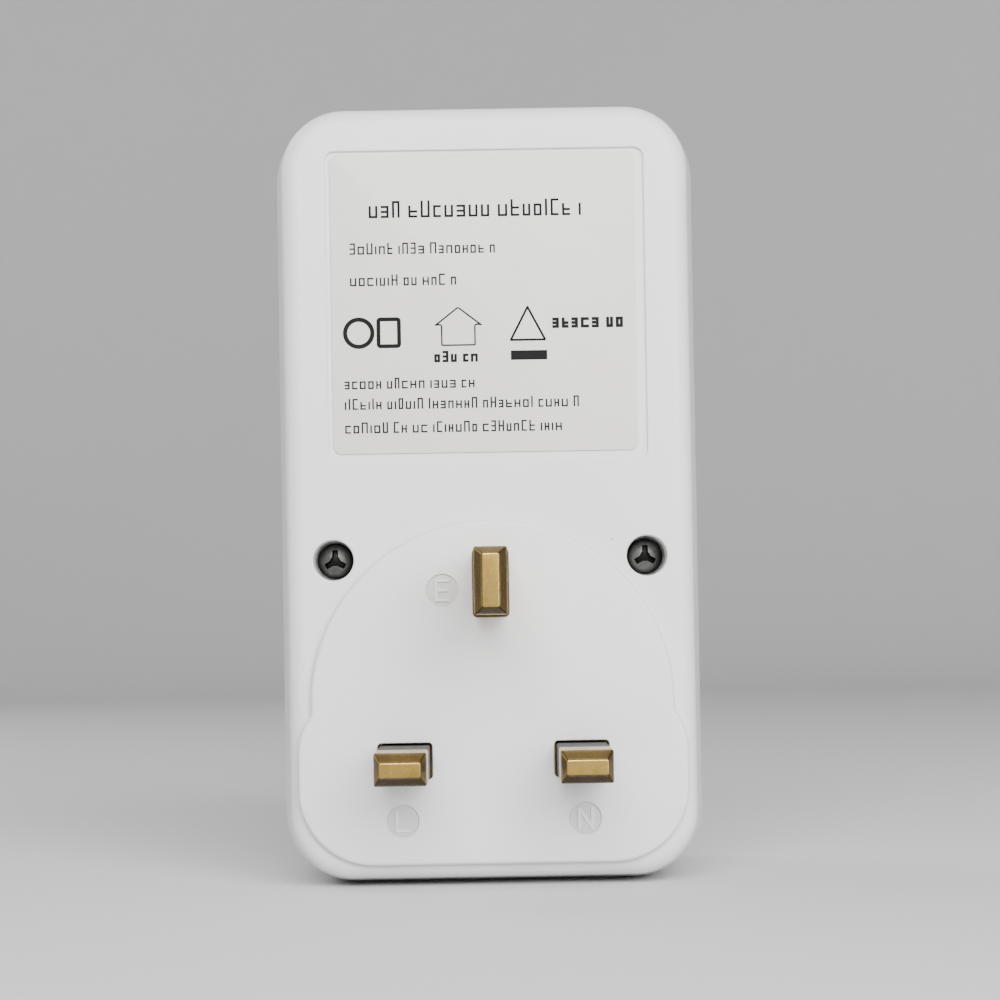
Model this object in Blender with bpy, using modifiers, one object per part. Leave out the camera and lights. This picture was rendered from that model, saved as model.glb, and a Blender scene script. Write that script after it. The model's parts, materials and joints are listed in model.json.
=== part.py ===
# Plug-in power meter: a UK three-pin plug on the back, and a display, four buttons and
# a 13 A socket on the front. It is modelled as it sits in a wall socket: +Y points out
# of the plug face towards the wall and +Z is up. The origin lies on the plug face,
# midway between the line and neutral pins.
#
# Lengths are in millimetres, and the helpers turn them into Blender's metres.
# In a box, each pair is a lowest and a highest coordinate.

import math

import bmesh
import bpy

MM = 0.001
RIM_STEPS = 4

# Casing
BODY_WIDTH = 54.0
BODY_HEIGHT = 100.0
BODY_BOTTOM = -16.1
BODY_MIDDLE = BODY_BOTTOM + BODY_HEIGHT / 2
BODY_CORNER = 9.2
WALL = 2.4
REAR_Y = -1.2
PARTING_Y = -10.5
FRONT_Y = -37.0
SEAM = 0.2
REAR_RIM = 2.4
FRONT_RIM = 3.0
REAR_DRAFT = 2.3
FRONT_DRAFT = 1.4
LIP_GAP = 0.2
LIP_THICKNESS = 1.0
LIP_DEPTH = 1.6
REAR_INSIDE_Y = REAR_Y - WALL
FRONT_INSIDE_Y = FRONT_Y + WALL

# Raised plug base: a disc joined to a rounded block whose upper corners stand out as ears
BASE_DISC_RADIUS = 22.9
BASE_DISC_Z = 7.35
BASE_HALF_WIDTH = 24.6
BASE_BOTTOM = -13.1
BASE_EAR_Z = 1.0
BASE_EAR_RADIUS = 8.0
BASE_CORNER = 9.5
BASE_EDGE = 0.4

# Plug pins and socket contacts, to the British 13 A pattern
PIN_X = 11.115
EARTH_Z = 22.23
PIN_WIDTH = 6.35
PIN_THICKNESS = 4.0
EARTH_WIDTH = 8.0
PIN_LENGTH = 17.7
EARTH_LENGTH = 22.73
PIN_TAPER = 1.7
PIN_TIP = (4.95, 1.8)
EARTH_TIP = (2.0, 6.3)
PIN_HOLE_GAP = 0.28
SLEEVE_WALL = 0.24
SLEEVE_END = 9.4
SLEEVE_GAP = 0.08
FLANGE_Y = (-5.3, -3.8)
STUD_END = -9.7

# Case screws
SCREW_X = 19.8
SCREW_Z = 25.4
SCREW_WELL_RADIUS = 2.55
SCREW_HEAD_RADIUS = 2.3
SCREW_HEAD_TOP = REAR_Y - 3.5
SCREW_HEAD_HEIGHT = 1.6
SCREW_SEAT_Y = SCREW_HEAD_TOP - SCREW_HEAD_HEIGHT - 0.15
SCREW_RADIUS = 1.3
SCREW_END = -22.0
RETAINER_SCREW_X = 15.0
RETAINER_SCREW_Z = 12.0
RETAINER_SCREW_END = -2.4
RETAINER_HEAD_TOP = -9.8
REAR_BOSS_RADIUS = 4.3
CASE_POST_RADIUS = 3.6
BOARD_POST_RADIUS = 2.5
SNAP_TAB_X = 12.0
SNAP_TAB_WIDTH = 5.0
FLAT_STUD = (4.6, 3.0)
EARTH_STUD = (3.0, 4.6)

# Rating label and its recess
LABEL_SIZE = (38.5, 37.9)
LABEL_X = 0.3
LABEL_Z = 57.75
RECESS_SIZE = (40.3, 39.5)
RECESS_Z = 57.4
RECESS_DEPTH = 0.4
LABEL_THICKNESS = 0.16

# Display
WINDOW_SIZE = (36.0, 17.0)
WINDOW_Z = 64.5
LENS_SIZE = (38.0, 19.0)
LENS_THICKNESS = 1.0
GLASS_SIZE = (40.0, 22.0)
GLASS_THICKNESS = 2.2

# Circuit board
BOARD_Y = (-29.0, -27.4)
BOARD_SIZE = (46.8, 46.2)
BOARD_Z = 56.1
BOARD_CORNER = 6.2
ON_BOARD = BOARD_Y[1] + 0.15
BOARD_SCREW_X = 20.6
BOARD_SCREW_Z = 47.6

# Buttons
BUTTON_NAMES = ("function", "cost", "up", "down")
BUTTON_X = (15.0, 5.0, -5.0, -15.0)
BUTTON_Z = 42.6
BUTTON_RADIUS = 3.3
BUTTON_STAND = 1.2
BUTTON_GAP = 0.3
SWITCH_SIZE = 6.0

# Front socket, shutter and contacts
SLOT_SIZE = (7.2, 4.7)
EARTH_SLOT_SIZE = (5.2, 8.8)
SHUTTER_Y = (-34.3, -31.9)
SHUTTER_TRAVEL = 5.0
SHUTTER_TOP = 23.0
BLADE_HALF_HEIGHT = 2.65
BLADE_HALF_WIDTH = 15.4
ARM_HALF_WIDTH = 4.4
SPRING_X = 0.0
SPRING_RADIUS = 0.95
SPRING_WIRE = 0.2
SPRING_TURNS = 6
CARRIER_Y = (-31.6, -13.5)
CONTACT_Y = (-31.0, -16.0)
CONTACT_TAIL = -12.0
CONTACT_SHEET = 0.6
CONTACT_SPREAD = 2.5


for old in list(bpy.data.objects):
    bpy.data.objects.remove(old, do_unlink=True)

meter = bpy.data.collections.new("plug_in_power_meter")
cutters = bpy.data.collections.new("cutters")
bpy.context.scene.collection.children.link(meter)
bpy.context.scene.collection.children.link(cutters)


# materials


def finish(name, colour, roughness, metallic=0.0, transmission=0.0):
    """A Principled material, with its colour in linear values."""
    material = bpy.data.materials.new(name)
    material.use_nodes = True
    shader = material.node_tree.nodes["Principled BSDF"]
    shader.inputs["Base Color"].default_value = (*colour, 1.0)
    shader.inputs["Roughness"].default_value = roughness
    shader.inputs["Metallic"].default_value = metallic
    shader.inputs["Transmission Weight"].default_value = transmission
    material.diffuse_color = (*colour, 1.0)
    return material


white_plastic = finish("white_plastic", (0.72, 0.71, 0.71), 0.38)
label_paper = finish("label_paper", (0.66, 0.65, 0.62), 0.5)
brass = finish("brass", (0.60, 0.43, 0.16), 0.32, 1.0)
black_plastic = finish("black_plastic", (0.02, 0.02, 0.02), 0.45)
dark_steel = finish("dark_steel", (0.12, 0.12, 0.12), 0.45, 1.0)
bright_steel = finish("bright_steel", (0.55, 0.55, 0.54), 0.3, 1.0)
clear_plastic = finish("clear_plastic", (0.9, 0.92, 0.92), 0.05, 0.0, 0.9)
display_glass = finish("display_glass", (0.30, 0.34, 0.27), 0.15)
zebra_rubber = finish("zebra_rubber", (0.55, 0.25, 0.30), 0.7)
board_green = finish("board_green", (0.02, 0.13, 0.05), 0.4)
copper = finish("copper", (0.72, 0.34, 0.18), 0.35, 1.0)
manganin = finish("manganin", (0.45, 0.36, 0.28), 0.4, 1.0)
film_yellow = finish("film_yellow", (0.75, 0.50, 0.06), 0.45)
disc_blue = finish("disc_blue", (0.04, 0.13, 0.42), 0.4)
grey_button = finish("grey_button", (0.28, 0.29, 0.30), 0.5)
grey_moulding = finish("grey_moulding", (0.42, 0.42, 0.41), 0.5)
red_wire = finish("red_wire", (0.55, 0.03, 0.02), 0.5)
blue_wire = finish("blue_wire", (0.03, 0.08, 0.45), 0.5)


# helpers


def place(name, shape, material=None):
    """Puts a bmesh into the scene: a part if it has a material, a cutter if it has none."""
    bmesh.ops.recalc_face_normals(shape, faces=shape.faces)
    if shape.calc_volume(signed=True) < 0:
        bmesh.ops.reverse_faces(shape, faces=shape.faces)
    mesh = bpy.data.meshes.new(name)
    shape.to_mesh(mesh)
    shape.free()
    thing = bpy.data.objects.new(name, mesh)
    if material:
        mesh.materials.append(material)
        meter.objects.link(thing)
    else:
        cutters.objects.link(thing)
        thing.hide_render = True
        thing.display_type = "WIRE"
    return thing


def smooth(thing):
    thing.data.shade_smooth()
    thing.data.set_sharp_from_angle(angle=math.radians(35))
    return thing


def box(name, x, y, z, material=None, edge=0.0, steps=2):
    """A box between the given pairs, with its edges rounded by `edge`."""
    shape = bmesh.new()
    bmesh.ops.create_cube(shape, size=1.0)
    for vertex in shape.verts:
        corner = [pair[value > 0] * MM for pair, value in zip((x, y, z), vertex.co)]
        vertex.co = corner
    if edge:
        bmesh.ops.bevel(
            shape,
            geom=list(shape.edges),
            offset=edge * MM,
            segments=steps,
            profile=0.5,
            affect="EDGES",
        )
    return place(name, shape, material)


def around(middle, size):
    return (middle - size / 2, middle + size / 2)


def arc(x, z, radius, first, last, steps):
    """Points on an arc about (x, z), from angle first to last, in degrees from +X."""
    points = []
    for step in range(steps + 1):
        angle = math.radians(first + (last - first) * step / steps)
        points.append((x + radius * math.cos(angle), z + radius * math.sin(angle)))
    return points


def rounded_outline(width, height, z, corner, steps=8):
    """A rectangle with round corners, centred on x = 0 and on z."""
    x_in = width / 2 - corner
    z_in = height / 2 - corner
    points = []
    for quarter, (x_side, z_side) in enumerate(((1, 1), (-1, 1), (-1, -1), (1, -1))):
        start = 90 * quarter
        points += arc(x_side * x_in, z + z_side * z_in, corner, start, start + 90, steps)
    return points


def rounded_block(name, size, z, near, far, corner, material=None, rim=0.0, draft=0.0):
    """A block centred on x = 0 and on z, from y = near to its outer face at y = far: a
    loft of rounded rectangles. The outer face is `draft` smaller each way, and `rim` is
    the radius that rounds its edge."""
    way = 1 if far > near else -1
    sections = [(near, 0.0)]
    for step in range(RIM_STEPS + 1 if rim else 1):
        angle = math.pi / 2 * step / RIM_STEPS
        y = far - way * rim * (1 - math.sin(angle))
        inset = draft / 2 + rim * (1 - math.cos(angle))
        sections.append((y, inset))
    shape = bmesh.new()
    rings = []
    for y, inset in sections:
        width, height = size[0] - 2 * inset, size[1] - 2 * inset
        outline = rounded_outline(width, height, z, corner - inset)
        rings.append([shape.verts.new((x * MM, y * MM, up * MM)) for x, up in outline])
    for lower, upper in zip(rings[:-1], rings[1:]):
        for index in range(len(lower)):
            after = (index + 1) % len(lower)
            shape.faces.new((lower[index], lower[after], upper[after], upper[index]))
    shape.faces.new(rings[0])
    shape.faces.new(rings[-1])
    return place(name, shape, material)


def rod(name, radius, x, y, z, material=None, steps=24):
    """A cylinder along Y between the pair y, centred on x and z."""
    shape = bmesh.new()
    bmesh.ops.create_cone(
        shape,
        cap_ends=True,
        segments=steps,
        radius1=radius * MM,
        radius2=radius * MM,
        depth=(y[1] - y[0]) * MM,
    )
    for vertex in shape.verts:
        across, up, along = vertex.co
        vertex.co = (x * MM + across, (y[0] + y[1]) / 2 * MM + along, z * MM + up)
    return place(name, shape, material)


def combine(target, other, operation):
    change = target.modifiers.new(operation.lower() + "_" + other.name, "BOOLEAN")
    change.operation = operation
    change.object = other
    return target


def cut(target, *others):
    for other in others:
        combine(target, other, "DIFFERENCE")
    return target


def join(target, *others):
    for other in others:
        combine(target, other, "UNION")
    return target


def stacked_bar(name, x, z, sections, material):
    """A bar along Y: each section gives its y, its width in x and its height in z."""
    shape = bmesh.new()
    bmesh.ops.create_cube(shape, size=1.0)
    (first_y, width, height), (next_y, _, _) = sections[:2]
    for vertex in shape.verts:
        vertex.co.x = (x + vertex.co.x * width) * MM
        vertex.co.z = (z + vertex.co.z * height) * MM
        vertex.co.y = (next_y if vertex.co.y > 0 else first_y) * MM
    end = max(shape.faces, key=lambda face: face.calc_center_median().y)
    for y, next_width, next_height in sections[2:]:
        end = bmesh.ops.extrude_discrete_faces(shape, faces=[end])["faces"][0]
        for vertex in end.verts:
            vertex.co.x = x * MM + (vertex.co.x - x * MM) * next_width / width
            vertex.co.z = z * MM + (vertex.co.z - z * MM) * next_height / height
            vertex.co.y = y * MM
        width, height = next_width, next_height
    return place(name, shape, material)


def strip(name, path, span, material=None, across="x"):
    """A sheet-metal strip: `path` gives (height, y) pairs, `span` its pair across.
    The path lies in the Y-Z plane when the strip spans x, and in X-Y when it spans z."""
    shape = bmesh.new()
    for height, y in path:
        point = (span[0], y, height) if across == "x" else (height, y, span[0])
        shape.verts.new([value * MM for value in point])
    shape.verts.ensure_lookup_table()
    for first, second in zip(shape.verts[:-1], shape.verts[1:]):
        shape.edges.new((first, second))
    grown = bmesh.ops.extrude_edge_only(shape, edges=shape.edges[:])["geom"]
    for item in grown:
        if isinstance(item, bmesh.types.BMVert):
            item.co["xyz".index(across)] = span[1] * MM
    sheet = place(name, shape, material)
    wall = sheet.modifiers.new("sheet", "SOLIDIFY")
    wall.thickness = CONTACT_SHEET * MM
    wall.offset = 0.0
    wall.use_even_offset = True
    return sheet


def wire(name, points, radius, material, rings=2):
    """A round wire along a list of points, with closed ends."""
    data = bpy.data.curves.new(name, "CURVE")
    data.dimensions = "3D"
    data.bevel_depth = radius * MM
    data.bevel_resolution = rings
    data.use_fill_caps = True
    line = data.splines.new("POLY")
    line.points.add(len(points) - 1)
    for spot, point in zip(line.points, points):
        spot.co = (*(value * MM for value in point), 1.0)
    data.materials.append(material)
    thing = bpy.data.objects.new(name, data)
    meter.objects.link(thing)
    return thing


def bezier(start, leave, arrive, end, steps=16):
    """Points on the cubic curve from start to end, drawn towards leave and arrive."""
    points = []
    for step in range(steps + 1):
        t = step / steps
        weights = ((1 - t) ** 3, 3 * t * (1 - t) ** 2, 3 * t * t * (1 - t), t**3)
        corners = zip(start, leave, arrive, end)
        points.append([sum(w * c for w, c in zip(weights, axis)) for axis in corners])
    return points


def move_origin(thing, point):
    """Puts the object's origin at a point, with its shape left where it is."""
    for vertex in thing.data.vertices:
        vertex.co = [value - shift * MM for value, shift in zip(vertex.co, point)]
    thing.location = [value * MM for value in point]
    return thing


def ride(thing, axis):
    """Hangs a thing on the empty that marks its joint axis, where it already is."""
    thing.parent = axis
    thing.matrix_parent_inverse = axis.matrix_basis.inverted()
    return thing


def joint_axis(name, point):
    axis = bpy.data.objects.new(name, None)
    axis.empty_display_size = 5 * MM
    axis.location = [value * MM for value in point]
    meter.objects.link(axis)
    return axis


# casing


def base_outline():
    """Right half from the bottom corner up to the top of the disc, then its mirror."""
    ear_x = BASE_HALF_WIDTH - BASE_EAR_RADIUS
    apart = math.hypot(ear_x, BASE_EAR_Z - BASE_DISC_Z)
    towards_ear = math.atan2(BASE_EAR_Z - BASE_DISC_Z, ear_x)
    along = apart**2 + BASE_DISC_RADIUS**2 - BASE_EAR_RADIUS**2
    opening = math.acos(along / (2 * apart * BASE_DISC_RADIUS))
    notch = towards_ear + opening
    notch_x = BASE_DISC_RADIUS * math.cos(notch)
    notch_z = BASE_DISC_Z + BASE_DISC_RADIUS * math.sin(notch)
    ear_end = math.degrees(math.atan2(notch_z - BASE_EAR_Z, notch_x - ear_x))
    corner_x = BASE_HALF_WIDTH - BASE_CORNER
    half = arc(corner_x, BASE_BOTTOM + BASE_CORNER, BASE_CORNER, -90, 0, 8)
    half += arc(ear_x, BASE_EAR_Z, BASE_EAR_RADIUS, 0, ear_end, 4)
    half += arc(0, BASE_DISC_Z, BASE_DISC_RADIUS, math.degrees(notch), 90, 14)[1:]
    return half + [(-x, z) for x, z in half[-2::-1]]


def plug_base(name):
    shape = bmesh.new()
    inside_wall = REAR_Y - WALL / 2
    rim = [shape.verts.new((x * MM, inside_wall * MM, z * MM)) for x, z in base_outline()]
    face = shape.faces.new(rim)
    grown = bmesh.ops.extrude_face_region(shape, geom=[face])["geom"]
    top = [item for item in grown if isinstance(item, bmesh.types.BMFace)][0]
    for vertex in top.verts:
        vertex.co.y = 0.0
    bmesh.ops.bevel(
        shape,
        geom=list(top.edges),
        offset=BASE_EDGE * MM,
        segments=2,
        profile=0.5,
        affect="EDGES",
    )
    return place(name, shape)


def pin_places():
    """Each pin's name, place, size and hole size, as (x, z) pairs."""
    flat = (PIN_WIDTH, PIN_THICKNESS)
    upright = (PIN_THICKNESS, EARTH_WIDTH)
    return (
        ("line", (PIN_X, 0.0), flat),
        ("neutral", (-PIN_X, 0.0), flat),
        ("earth", (0.0, EARTH_Z), upright),
    )


def rear_cover():
    cover = rounded_block(
        "rear_cover",
        (BODY_WIDTH, BODY_HEIGHT),
        BODY_MIDDLE,
        PARTING_Y,
        REAR_Y,
        BODY_CORNER,
        white_plastic,
        REAR_RIM,
        REAR_DRAFT,
    )
    hollow = rounded_block(
        "rear_hollow",
        (BODY_WIDTH - 2 * WALL, BODY_HEIGHT - 2 * WALL),
        BODY_MIDDLE,
        PARTING_Y - 1.0,
        REAR_INSIDE_Y,
        BODY_CORNER - WALL,
        rim=1.2,
        draft=REAR_DRAFT,
    )
    step = 2 * (WALL - LIP_THICKNESS - LIP_GAP)
    rebate = rounded_block(
        "rear_rebate",
        (BODY_WIDTH - step, BODY_HEIGHT - step),
        BODY_MIDDLE,
        PARTING_Y - 1.0,
        PARTING_Y + LIP_DEPTH + LIP_GAP,
        BODY_CORNER - step / 2,
    )
    cut(cover, hollow, rebate)
    join(cover, plug_base("plug_base"))
    for side, name in ((1, "left"), (-1, "right")):
        x = side * SCREW_X
        boss = rod("rear_boss_" + name, REAR_BOSS_RADIUS, x, (-8.6, REAR_Y - 0.8), SCREW_Z)
        join(cover, boss)
        near = side * RETAINER_SCREW_X
        stud_y = (-5.3, -2.8)
        stud = rod("retainer_boss_" + name, 2.6, near, stud_y, RETAINER_SCREW_Z, steps=20)
        join(cover, stud)
        tab_x = around(side * SNAP_TAB_X, SNAP_TAB_WIDTH)
        tab = box("snap_tab_" + name, tab_x, (-14.6, -2.6), (79.8, 81.1))
        barb_x = around(side * SNAP_TAB_X, SNAP_TAB_WIDTH - 0.6)
        barb = box("snap_barb_" + name, barb_x, (-14.4, -13.4), (80.5, 82))
        join(cover, tab, barb)
    for side, name in ((1, "left"), (-1, "right")):
        x = side * SCREW_X
        well = rod("screw_well_" + name, SCREW_WELL_RADIUS, x, (SCREW_SEAT_Y, 3.0), SCREW_Z)
        hole = rod("screw_hole_" + name, 1.7, x, (-12.0, -3.0), SCREW_Z, steps=16)
        near = side * RETAINER_SCREW_X
        pilot_y = (-6.0, -1.6)
        pilot = rod("retainer_pilot_" + name, 1.2, near, pilot_y, RETAINER_SCREW_Z, steps=16)
        cut(cover, well, hole, pilot)
    for name, (x, z), (width, height) in pin_places():
        wide = around(x, width + 2 * PIN_HOLE_GAP)
        high = around(z, height + 2 * PIN_HOLE_GAP)
        cut(cover, box(name + "_pin_hole", wide, (-6.0, 3.0), high))
    recess = rounded_block(
        "label_recess", RECESS_SIZE, RECESS_Z, 1.0, REAR_Y - RECESS_DEPTH, 1.2
    )
    cut(cover, recess)
    return smooth(cover)


def front_cover():
    cover = rounded_block(
        "front_cover",
        (BODY_WIDTH, BODY_HEIGHT),
        BODY_MIDDLE,
        PARTING_Y - SEAM,
        FRONT_Y,
        BODY_CORNER,
        white_plastic,
        FRONT_RIM,
        FRONT_DRAFT,
    )
    lip_inset = 2 * (WALL - LIP_THICKNESS)
    lip = rounded_block(
        "front_lip",
        (BODY_WIDTH - lip_inset, BODY_HEIGHT - lip_inset),
        BODY_MIDDLE,
        PARTING_Y - 3.0,
        PARTING_Y + LIP_DEPTH,
        BODY_CORNER - lip_inset / 2,
    )
    hollow = rounded_block(
        "front_hollow",
        (BODY_WIDTH - 2 * WALL, BODY_HEIGHT - 2 * WALL),
        BODY_MIDDLE,
        PARTING_Y + 4.0,
        FRONT_INSIDE_Y,
        BODY_CORNER - WALL,
        rim=1.2,
        draft=FRONT_DRAFT,
    )
    join(cover, lip)
    cut(cover, hollow)
    for side, name in ((1, "left"), (-1, "right")):
        post_y = (FRONT_INSIDE_Y - 0.8, -8.9)
        post = rod("case_post_" + name, CASE_POST_RADIUS, side * SCREW_X, post_y, SCREW_Z)
        board_y = (FRONT_INSIDE_Y - 0.8, BOARD_Y[0] - 0.2)
        post_x = side * BOARD_SCREW_X
        rest = rod("board_post_" + name, BOARD_POST_RADIUS, post_x, board_y, BOARD_SCREW_Z)
        rib = box("carrier_rib_" + name, around(side * 16.2, 1.0), (-35.4, -31.8), (-5, 5))
        guide = box("shutter_rib_" + name, around(side * 5.4, 1.0), (-35.4, -32.2), (6, 16))
        join(cover, post, rest, rib, guide)
    for side, name in ((1, "left"), (-1, "right")):
        pilot = rod("case_pilot_" + name, 1.5, side * SCREW_X, (-24.0, -8.0), SCREW_Z, steps=16)
        x = side * BOARD_SCREW_X
        hole = rod("board_pilot_" + name, 1.1, x, (-34.0, -28.0), BOARD_SCREW_Z, steps=16)
        catch_x = around(side * SNAP_TAB_X, SNAP_TAB_WIDTH + 0.8)
        catch = box("snap_catch_" + name, catch_x, (-15.0, -13.0), (80, 82.6))
        cut(cover, pilot, hole, catch)
    window = rounded_block("window_hole", WINDOW_SIZE, WINDOW_Z, -32.0, FRONT_Y - 2.0, 1.5)
    rebate_y = FRONT_Y + LENS_THICKNESS + 0.2
    rebate_size = (LENS_SIZE[0] + 0.4, LENS_SIZE[1] + 0.4)
    rebate = rounded_block("lens_rebate", rebate_size, WINDOW_Z, rebate_y, FRONT_Y - 2.0, 2.2)
    cut(cover, window, rebate)
    for name, x in zip(BUTTON_NAMES, BUTTON_X):
        hole = rod(name + "_hole", BUTTON_RADIUS + BUTTON_GAP, x, (-39.0, -33.0), BUTTON_Z)
        cut(cover, hole)
    for name, (x, z), _ in pin_places():
        size = EARTH_SLOT_SIZE if name == "earth" else SLOT_SIZE
        slot = box(name + "_slot", around(x, size[0]), (-39.0, -33.0), around(z, size[1]))
        cut(cover, slot)
    return smooth(cover)


def rating_label():
    back = REAR_Y - RECESS_DEPTH + 0.06
    label = rounded_block(
        "rating_label", LABEL_SIZE, LABEL_Z, back, back + LABEL_THICKNESS, 1.0, label_paper
    )
    for vertex in label.data.vertices:
        vertex.co.x += LABEL_X * MM
    return label


# plug pins


def plug_pins():
    for name, (x, z), (width, height) in pin_places():
        earth = name == "earth"
        length = EARTH_LENGTH if earth else PIN_LENGTH
        tip = EARTH_TIP if earth else PIN_TIP
        stud = EARTH_STUD if earth else FLAT_STUD
        flange = (width + 2.2, height + 2.2)
        sections = [(STUD_END, *stud), (FLANGE_Y[0], *stud)]
        sections += [(FLANGE_Y[0], *flange), (FLANGE_Y[1], *flange)]
        if not earth:
            thinner = 2 * (SLEEVE_WALL + SLEEVE_GAP)
            neck = (width - thinner, height - thinner)
            sections += [(FLANGE_Y[1], *neck), (SLEEVE_END + SLEEVE_GAP, *neck)]
            sections += [(SLEEVE_END + SLEEVE_GAP, width, height)]
        else:
            sections += [(FLANGE_Y[1], width, height)]
        sections += [(length - PIN_TAPER, width, height), (length, *tip)]
        stacked_bar(name + "_pin", x, z, sections, brass)


def pin_sleeves():
    for name, (x, z), (width, height) in pin_places()[:2]:
        sleeve_y = (FLANGE_Y[1] + 0.1, SLEEVE_END)
        wide, high = around(x, width), around(z, height)
        sleeve = box(name + "_pin_sleeve", wide, sleeve_y, high, black_plastic)
        wide = around(x, width - 2 * SLEEVE_WALL)
        high = around(z, height - 2 * SLEEVE_WALL)
        cut(sleeve, box(name + "_sleeve_bore", wide, (-6.0, 12.0), high))


def pin_retainer():
    """A plate behind the plug base that traps the pins' flanges and backs the carrier."""
    plate_y = (-8.4, -5.5)
    plate = box("pin_retainer", (-17.4, 17.4), plate_y, (-6.0, 17.6), grey_moulding)
    join(plate, box("retainer_head", (-9.0, 9.0), plate_y, (17.0, 29.6)))
    for side, name in ((1, "left"), (-1, "right")):
        leg = box("retainer_leg_" + name, around(side * 15.6, 1.4), (-13.3, -8.0), (-5.4, 5.4))
        join(plate, leg)
        x = side * RETAINER_SCREW_X
        hole = rod("retainer_hole_" + name, 1.3, x, (-9.0, -5.0), RETAINER_SCREW_Z, steps=16)
        cut(plate, hole)
    for name, (x, z), _ in pin_places():
        stud = EARTH_STUD if name == "earth" else FLAT_STUD
        wide, high = around(x, stud[0] + 0.6), around(z, stud[1] + 0.6)
        cut(plate, box(name + "_stud_hole", wide, (-9.0, -5.0), high))


# fasteners


def pan_screw(name, x, z, head_top, end, head_radius, head_height, radius, material):
    """A screw along Y from the top of its head to its end: a turned profile."""
    way = 1 if head_top > end else -1
    seat = head_top - way * head_height
    profile = [
        (0.0, head_top),
        (head_radius * 0.72, head_top),
        (head_radius, head_top - way * head_height * 0.4),
        (head_radius, seat),
        (radius, seat),
        (radius, end + way * radius),
        (0.0, end),
    ]
    shape = bmesh.new()
    for across, y in profile:
        shape.verts.new((across * MM, 0.0, y * MM))
    shape.verts.ensure_lookup_table()
    for first, second in zip(shape.verts[:-1], shape.verts[1:]):
        shape.edges.new((first, second))
    mesh = bpy.data.meshes.new(name)
    shape.to_mesh(mesh)
    shape.free()
    mesh.materials.append(material)
    screw = bpy.data.objects.new(name, mesh)
    meter.objects.link(screw)
    turn = screw.modifiers.new("turn", "SCREW")
    turn.steps = 24
    turn.render_steps = 24
    turn.use_merge_vertices = True
    turn.merge_threshold = 1e-6
    turn.use_normal_flip = way < 0
    screw.rotation_euler = (math.radians(-90), 0.0, 0.0)
    screw.location = (x * MM, 0.0, z * MM)
    return smooth(screw)


def case_screws():
    for side, name in ((1, "left"), (-1, "right")):
        x = side * SCREW_X
        pan_screw(
            "case_screw_" + name,
            x,
            SCREW_Z,
            SCREW_HEAD_TOP,
            SCREW_END,
            SCREW_HEAD_RADIUS,
            SCREW_HEAD_HEIGHT,
            SCREW_RADIUS,
            dark_steel,
        )


def inner_screws():
    for side, name in ((1, "left"), (-1, "right")):
        x, z = side * RETAINER_SCREW_X, RETAINER_SCREW_Z
        head, end = RETAINER_HEAD_TOP, RETAINER_SCREW_END
        pan_screw("retainer_screw_" + name, x, z, head, end, 2.0, 1.2, 1.0, bright_steel)
        x, z = side * BOARD_SCREW_X, BOARD_SCREW_Z
        head, end = BOARD_Y[1] + 1.4, -33.0
        pan_screw("board_screw_" + name, x, z, head, end, 2.0, 1.2, 0.9, bright_steel)


# display and board


def display():
    lens = rounded_block(
        "window_lens", LENS_SIZE, WINDOW_Z, FRONT_Y + LENS_THICKNESS, FRONT_Y, 2.0, clear_plastic
    )
    smooth(lens)
    glass_y = (FRONT_INSIDE_Y + 0.2, FRONT_INSIDE_Y + 0.2 + GLASS_THICKNESS)
    wide, high = around(0.0, GLASS_SIZE[0]), around(WINDOW_Z, GLASS_SIZE[1])
    box("lcd_glass", wide, glass_y, high, display_glass)
    frame_y = (glass_y[0], BOARD_Y[0] - 0.2)
    outer = (around(0.0, GLASS_SIZE[0] + 3.6), around(WINDOW_Z, GLASS_SIZE[1] + 3.6))
    inner = (around(0.0, GLASS_SIZE[0] + 0.5), around(WINDOW_Z, GLASS_SIZE[1] + 0.5))
    frame = box("lcd_frame", outer[0], frame_y, outer[1], white_plastic)
    cut(frame, box("lcd_frame_hole", inner[0], (-40.0, -20.0), inner[1]))
    strip_y = (glass_y[1] + 0.15, BOARD_Y[0] - 0.15)
    low = WINDOW_Z - GLASS_SIZE[1] / 2
    box("zebra_strip", (-18.0, 18.0), strip_y, (low + 0.6, low + 2.8), zebra_rubber)


def board():
    plate = rounded_block("main_board", BOARD_SIZE, BOARD_Z, *BOARD_Y, BOARD_CORNER, board_green)
    for side, name in ((1, "left"), (-1, "right")):
        x = side * BOARD_SCREW_X
        cut(plate, rod("board_hole_" + name, 1.3, x, (-30.0, -26.0), BOARD_SCREW_Z, steps=16))
    chip_y = (ON_BOARD, ON_BOARD + 2.0)
    box("metering_chip", (2.0, 12.0), chip_y, (52.5, 60.0), black_plastic, 0.3, 1)
    can_y = (ON_BOARD, ON_BOARD + 3.4)
    box("crystal_can", (14.5, 18.5), can_y, (52.0, 62.5), bright_steel, 0.8)
    dropper_y = (ON_BOARD, ON_BOARD + 14.0)
    box("dropper_capacitor", (-21.0, -3.0), dropper_y, (68.0, 77.0), film_yellow, 0.5, 1)
    smoothing_y = (ON_BOARD, ON_BOARD + 12.0)
    smooth(rod("smoothing_capacitor", 4.0, 10.0, smoothing_y, 71.5, black_plastic))
    battery_y = (ON_BOARD, ON_BOARD + 6.0)
    smooth(rod("backup_battery", 7.8, 0.0, battery_y, 42.5, bright_steel, 32))
    varistor()


def varistor():
    """A disc on edge, turned from a profile: its flat faces look along X."""
    shape = bmesh.new()
    bmesh.ops.create_cone(
        shape, cap_ends=True, segments=24, radius1=5 * MM, radius2=5 * MM, depth=4 * MM
    )
    for vertex in shape.verts:
        up, along, across = vertex.co
        vertex.co = (-12 * MM + across, (ON_BOARD + 5) * MM + along, 57 * MM + up)
    smooth(place("varistor", shape, disc_blue))


# buttons


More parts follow.
